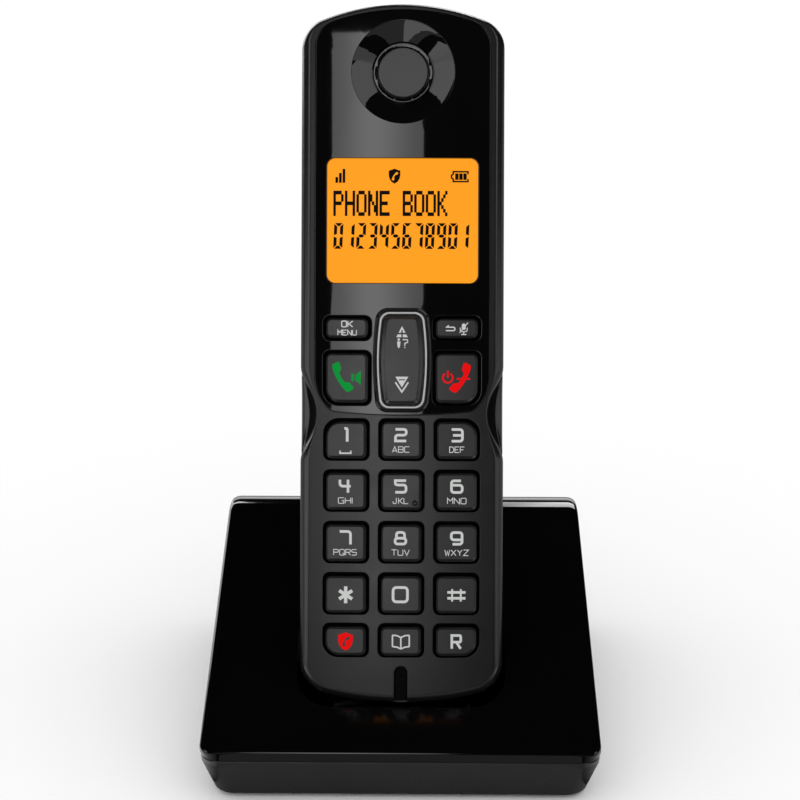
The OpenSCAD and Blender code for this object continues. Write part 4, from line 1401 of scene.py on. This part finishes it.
def glow(name, strength, stops=()):
    """A light card's material. stops are (place across, share of strength), or "round" for a soft spot."""
    material = bpy.data.materials.new(name)
    material.use_nodes = True
    nodes, links = material.node_tree.nodes, material.node_tree.links
    nodes.clear()
    output, shine = node(nodes, "OutputMaterial"), node(nodes, "Emission", Strength=strength)
    if stops == "round":
        place, centre = node(nodes, "TexCoord"), node(nodes, "VectorMath")
        centre.operation = "MULTIPLY_ADD"
        centre.inputs[1].default_value, centre.inputs[2].default_value = (2, 2, 0), (-1, -1, 0)
        falloff, soften = node(nodes, "TexGradient"), node(nodes, "Math")
        falloff.gradient_type, soften.operation = "SPHERICAL", "MULTIPLY"
        soften.inputs[1].default_value = strength
        links.new(place.outputs["Generated"], centre.inputs[0])
        links.new(centre.outputs["Vector"], falloff.inputs["Vector"])
        links.new(falloff.outputs["Fac"], soften.inputs[0])
        links.new(soften.outputs["Value"], shine.inputs["Strength"])
    elif stops:
        place, split, ramp = [node(nodes, kind) for kind in ("TexCoord", "SeparateXYZ", "ValToRGB")]
        links.new(place.outputs["Generated"], split.inputs["Vector"])
        ramp.color_ramp.interpolation = "EASE"
        for k, (where, share) in enumerate(stops):
            stop = ramp.color_ramp.elements[k] if k < 2 else ramp.color_ramp.elements.new(where)
            stop.position, stop.color = where, (share, share, share, 1)
        links.new(split.outputs["X"], ramp.inputs["Fac"])
        links.new(ramp.outputs["Color"], shine.inputs["Color"])
    links.new(shine.outputs["Emission"], output.inputs["Surface"])
    return material


def sheet(name, centre, across, up, material):
    """A flat rectangle of the stage, given by its centre and its two half sides."""
    mesh = bpy.data.meshes.new(name)
    corners = [centre + across * a + up * b for a, b in ((-1, -1), (1, -1), (1, 1), (-1, 1))]
    mesh.from_pydata([tuple(c) for c in corners], [], [(0, 1, 2, 3)])
    mesh.materials.append(material)
    obj = linked(name, mesh)
    return obj


def card(name, centre, across, up, strength, stops=()):
    """A light that only reflections show."""
    obj = sheet(name, centre, across, up, glow(name, strength, stops))
    obj.visible_camera = obj.visible_diffuse = obj.visible_shadow = False


def studio():
    """A pale floor, an even light all round and cards whose reflections draw the gloss."""
    scene = bpy.context.scene
    scene.view_settings.view_transform = "Standard"
    world = scene.world or bpy.data.worlds.new("world")
    scene.world = world
    world.use_nodes = True
    nodes, links = world.node_tree.nodes, world.node_tree.links
    nodes.clear()
    output, sky = node(nodes, "OutputWorld"), node(nodes, "Background")
    # The world lights the scene but is black in reflections, and there the floor is darker too.
    path, dim = node(nodes, "LightPath"), node(nodes, "MapRange", To_Min=SKY, To_Max=0.0)
    links.new(path.outputs["Is Glossy Ray"], dim.inputs["Value"])
    links.new(dim.outputs["Result"], sky.inputs["Strength"])
    links.new(sky.outputs["Background"], output.inputs["Surface"])

    material, nodes, links, shader = shaded("floor")
    setting(shader, Roughness=0.9, Specular_IOR_Level=0.0)
    tone, path = node(nodes, "MapRange", To_Min=FLOOR, To_Max=FLOOR_MIRRORED), node(nodes, "LightPath")
    links.new(path.outputs["Is Glossy Ray"], tone.inputs["Value"])
    links.new(tone.outputs["Result"], shader.inputs["Base Color"])
    sheet("floor", Vector(), Vector((4, 0, 0)), Vector((0, 4, 0)), material)

    # The front card is so far off that each part of the face mirrors its own part of it. Its four borders
    # are given by where they show on the face. The face's crown mirrors a wider part than a flat face would.
    front = 2000
    rise = 1 + front / DISTANCE
    bend = rise + 4 * CROWN / CROWN_HALF ** 2 * front
    left, right, top, low = -18.0 * bend * MM, 3.3 * bend * MM, 85.7 * rise * MM, -60 * rise * MM
    centre = FACE_CENTRE - INTO * front * MM + ACROSS * (left + right) / 2 + ALONG * (top + low) / 2
    card("card_front", centre, ACROSS * (right - left) / 2, ALONG * (top - low) / 2, 3.6,
         [(0.0, 0.55), (0.45, 1.0), (1.0, 0.5)])
    for name, centre, across, up, *light in CARDS:
        card(name, Vector(centre), Vector(across), Vector(up), *light)


# Every card but the front one, in metres: its centre, its two half sides, its strength and its stops.
CARDS = [
    ("card_left", (-1.2, -1.55, 0.56), -1.65 * INTO, 0.2 * ALONG, 1.6),
    ("card_dish", (-1.2, -1.6, 1.2), (0, 0.65, 0), (0, 0, 0.9), 1.9),
    ("card_right", (1.2, -1.3, 1.5), (0, 0.6, 0), (0, 0, 0.75), 1.7),
    ("card_side", (1.2, -1.0, 0.36), -1.2 * INTO, 0.2 * ALONG, 1.0),
    ("card_back", (0.19, 1.05, 1.07), (0.21, 0, 0), (0, 0, 0.37), 9.0,
     [(0.0, 0.25), (0.28, 0.5), (0.4, 1.0)]),
    ("card_back_left", (-0.5, 1.05, 0.88), (0.33, 0, 0), (0, 0, 0.1), 8.0),
    ("card_back_far", (-0.9, 1.05, 0.75), (0.5, 0, 0), (0, 0, 0.7), 4.0),
    ("card_horizon", (0, 1.3, 0.3), (0.6, 0, 0), (0, 0, 0.22), 1.9),
    ("card_low", (-0.76, -0.9, 0.01), (0.74, 0, 0), (0, 0.7, 0), 1.9),
    ("card_low_left", (-0.085, -0.05, 0.003), (0.042, 0, 0), (0, 0.05, 0), 6.0, "round"),
    ("card_low_right", (0.085, -0.05, 0.003), (0.042, 0, 0), (0, 0.05, 0), 3.5, "round"),
]


finish_frame()
front_housing()
microphone_inlay()
rear_housing()
battery_door()
fascia()
ear_cap()
display_lens()
nav_ring()
keys()
screen_marks()
base_top_shell()
base_lower_housing()
rubber_feet()
page_button()
studio()
camera()
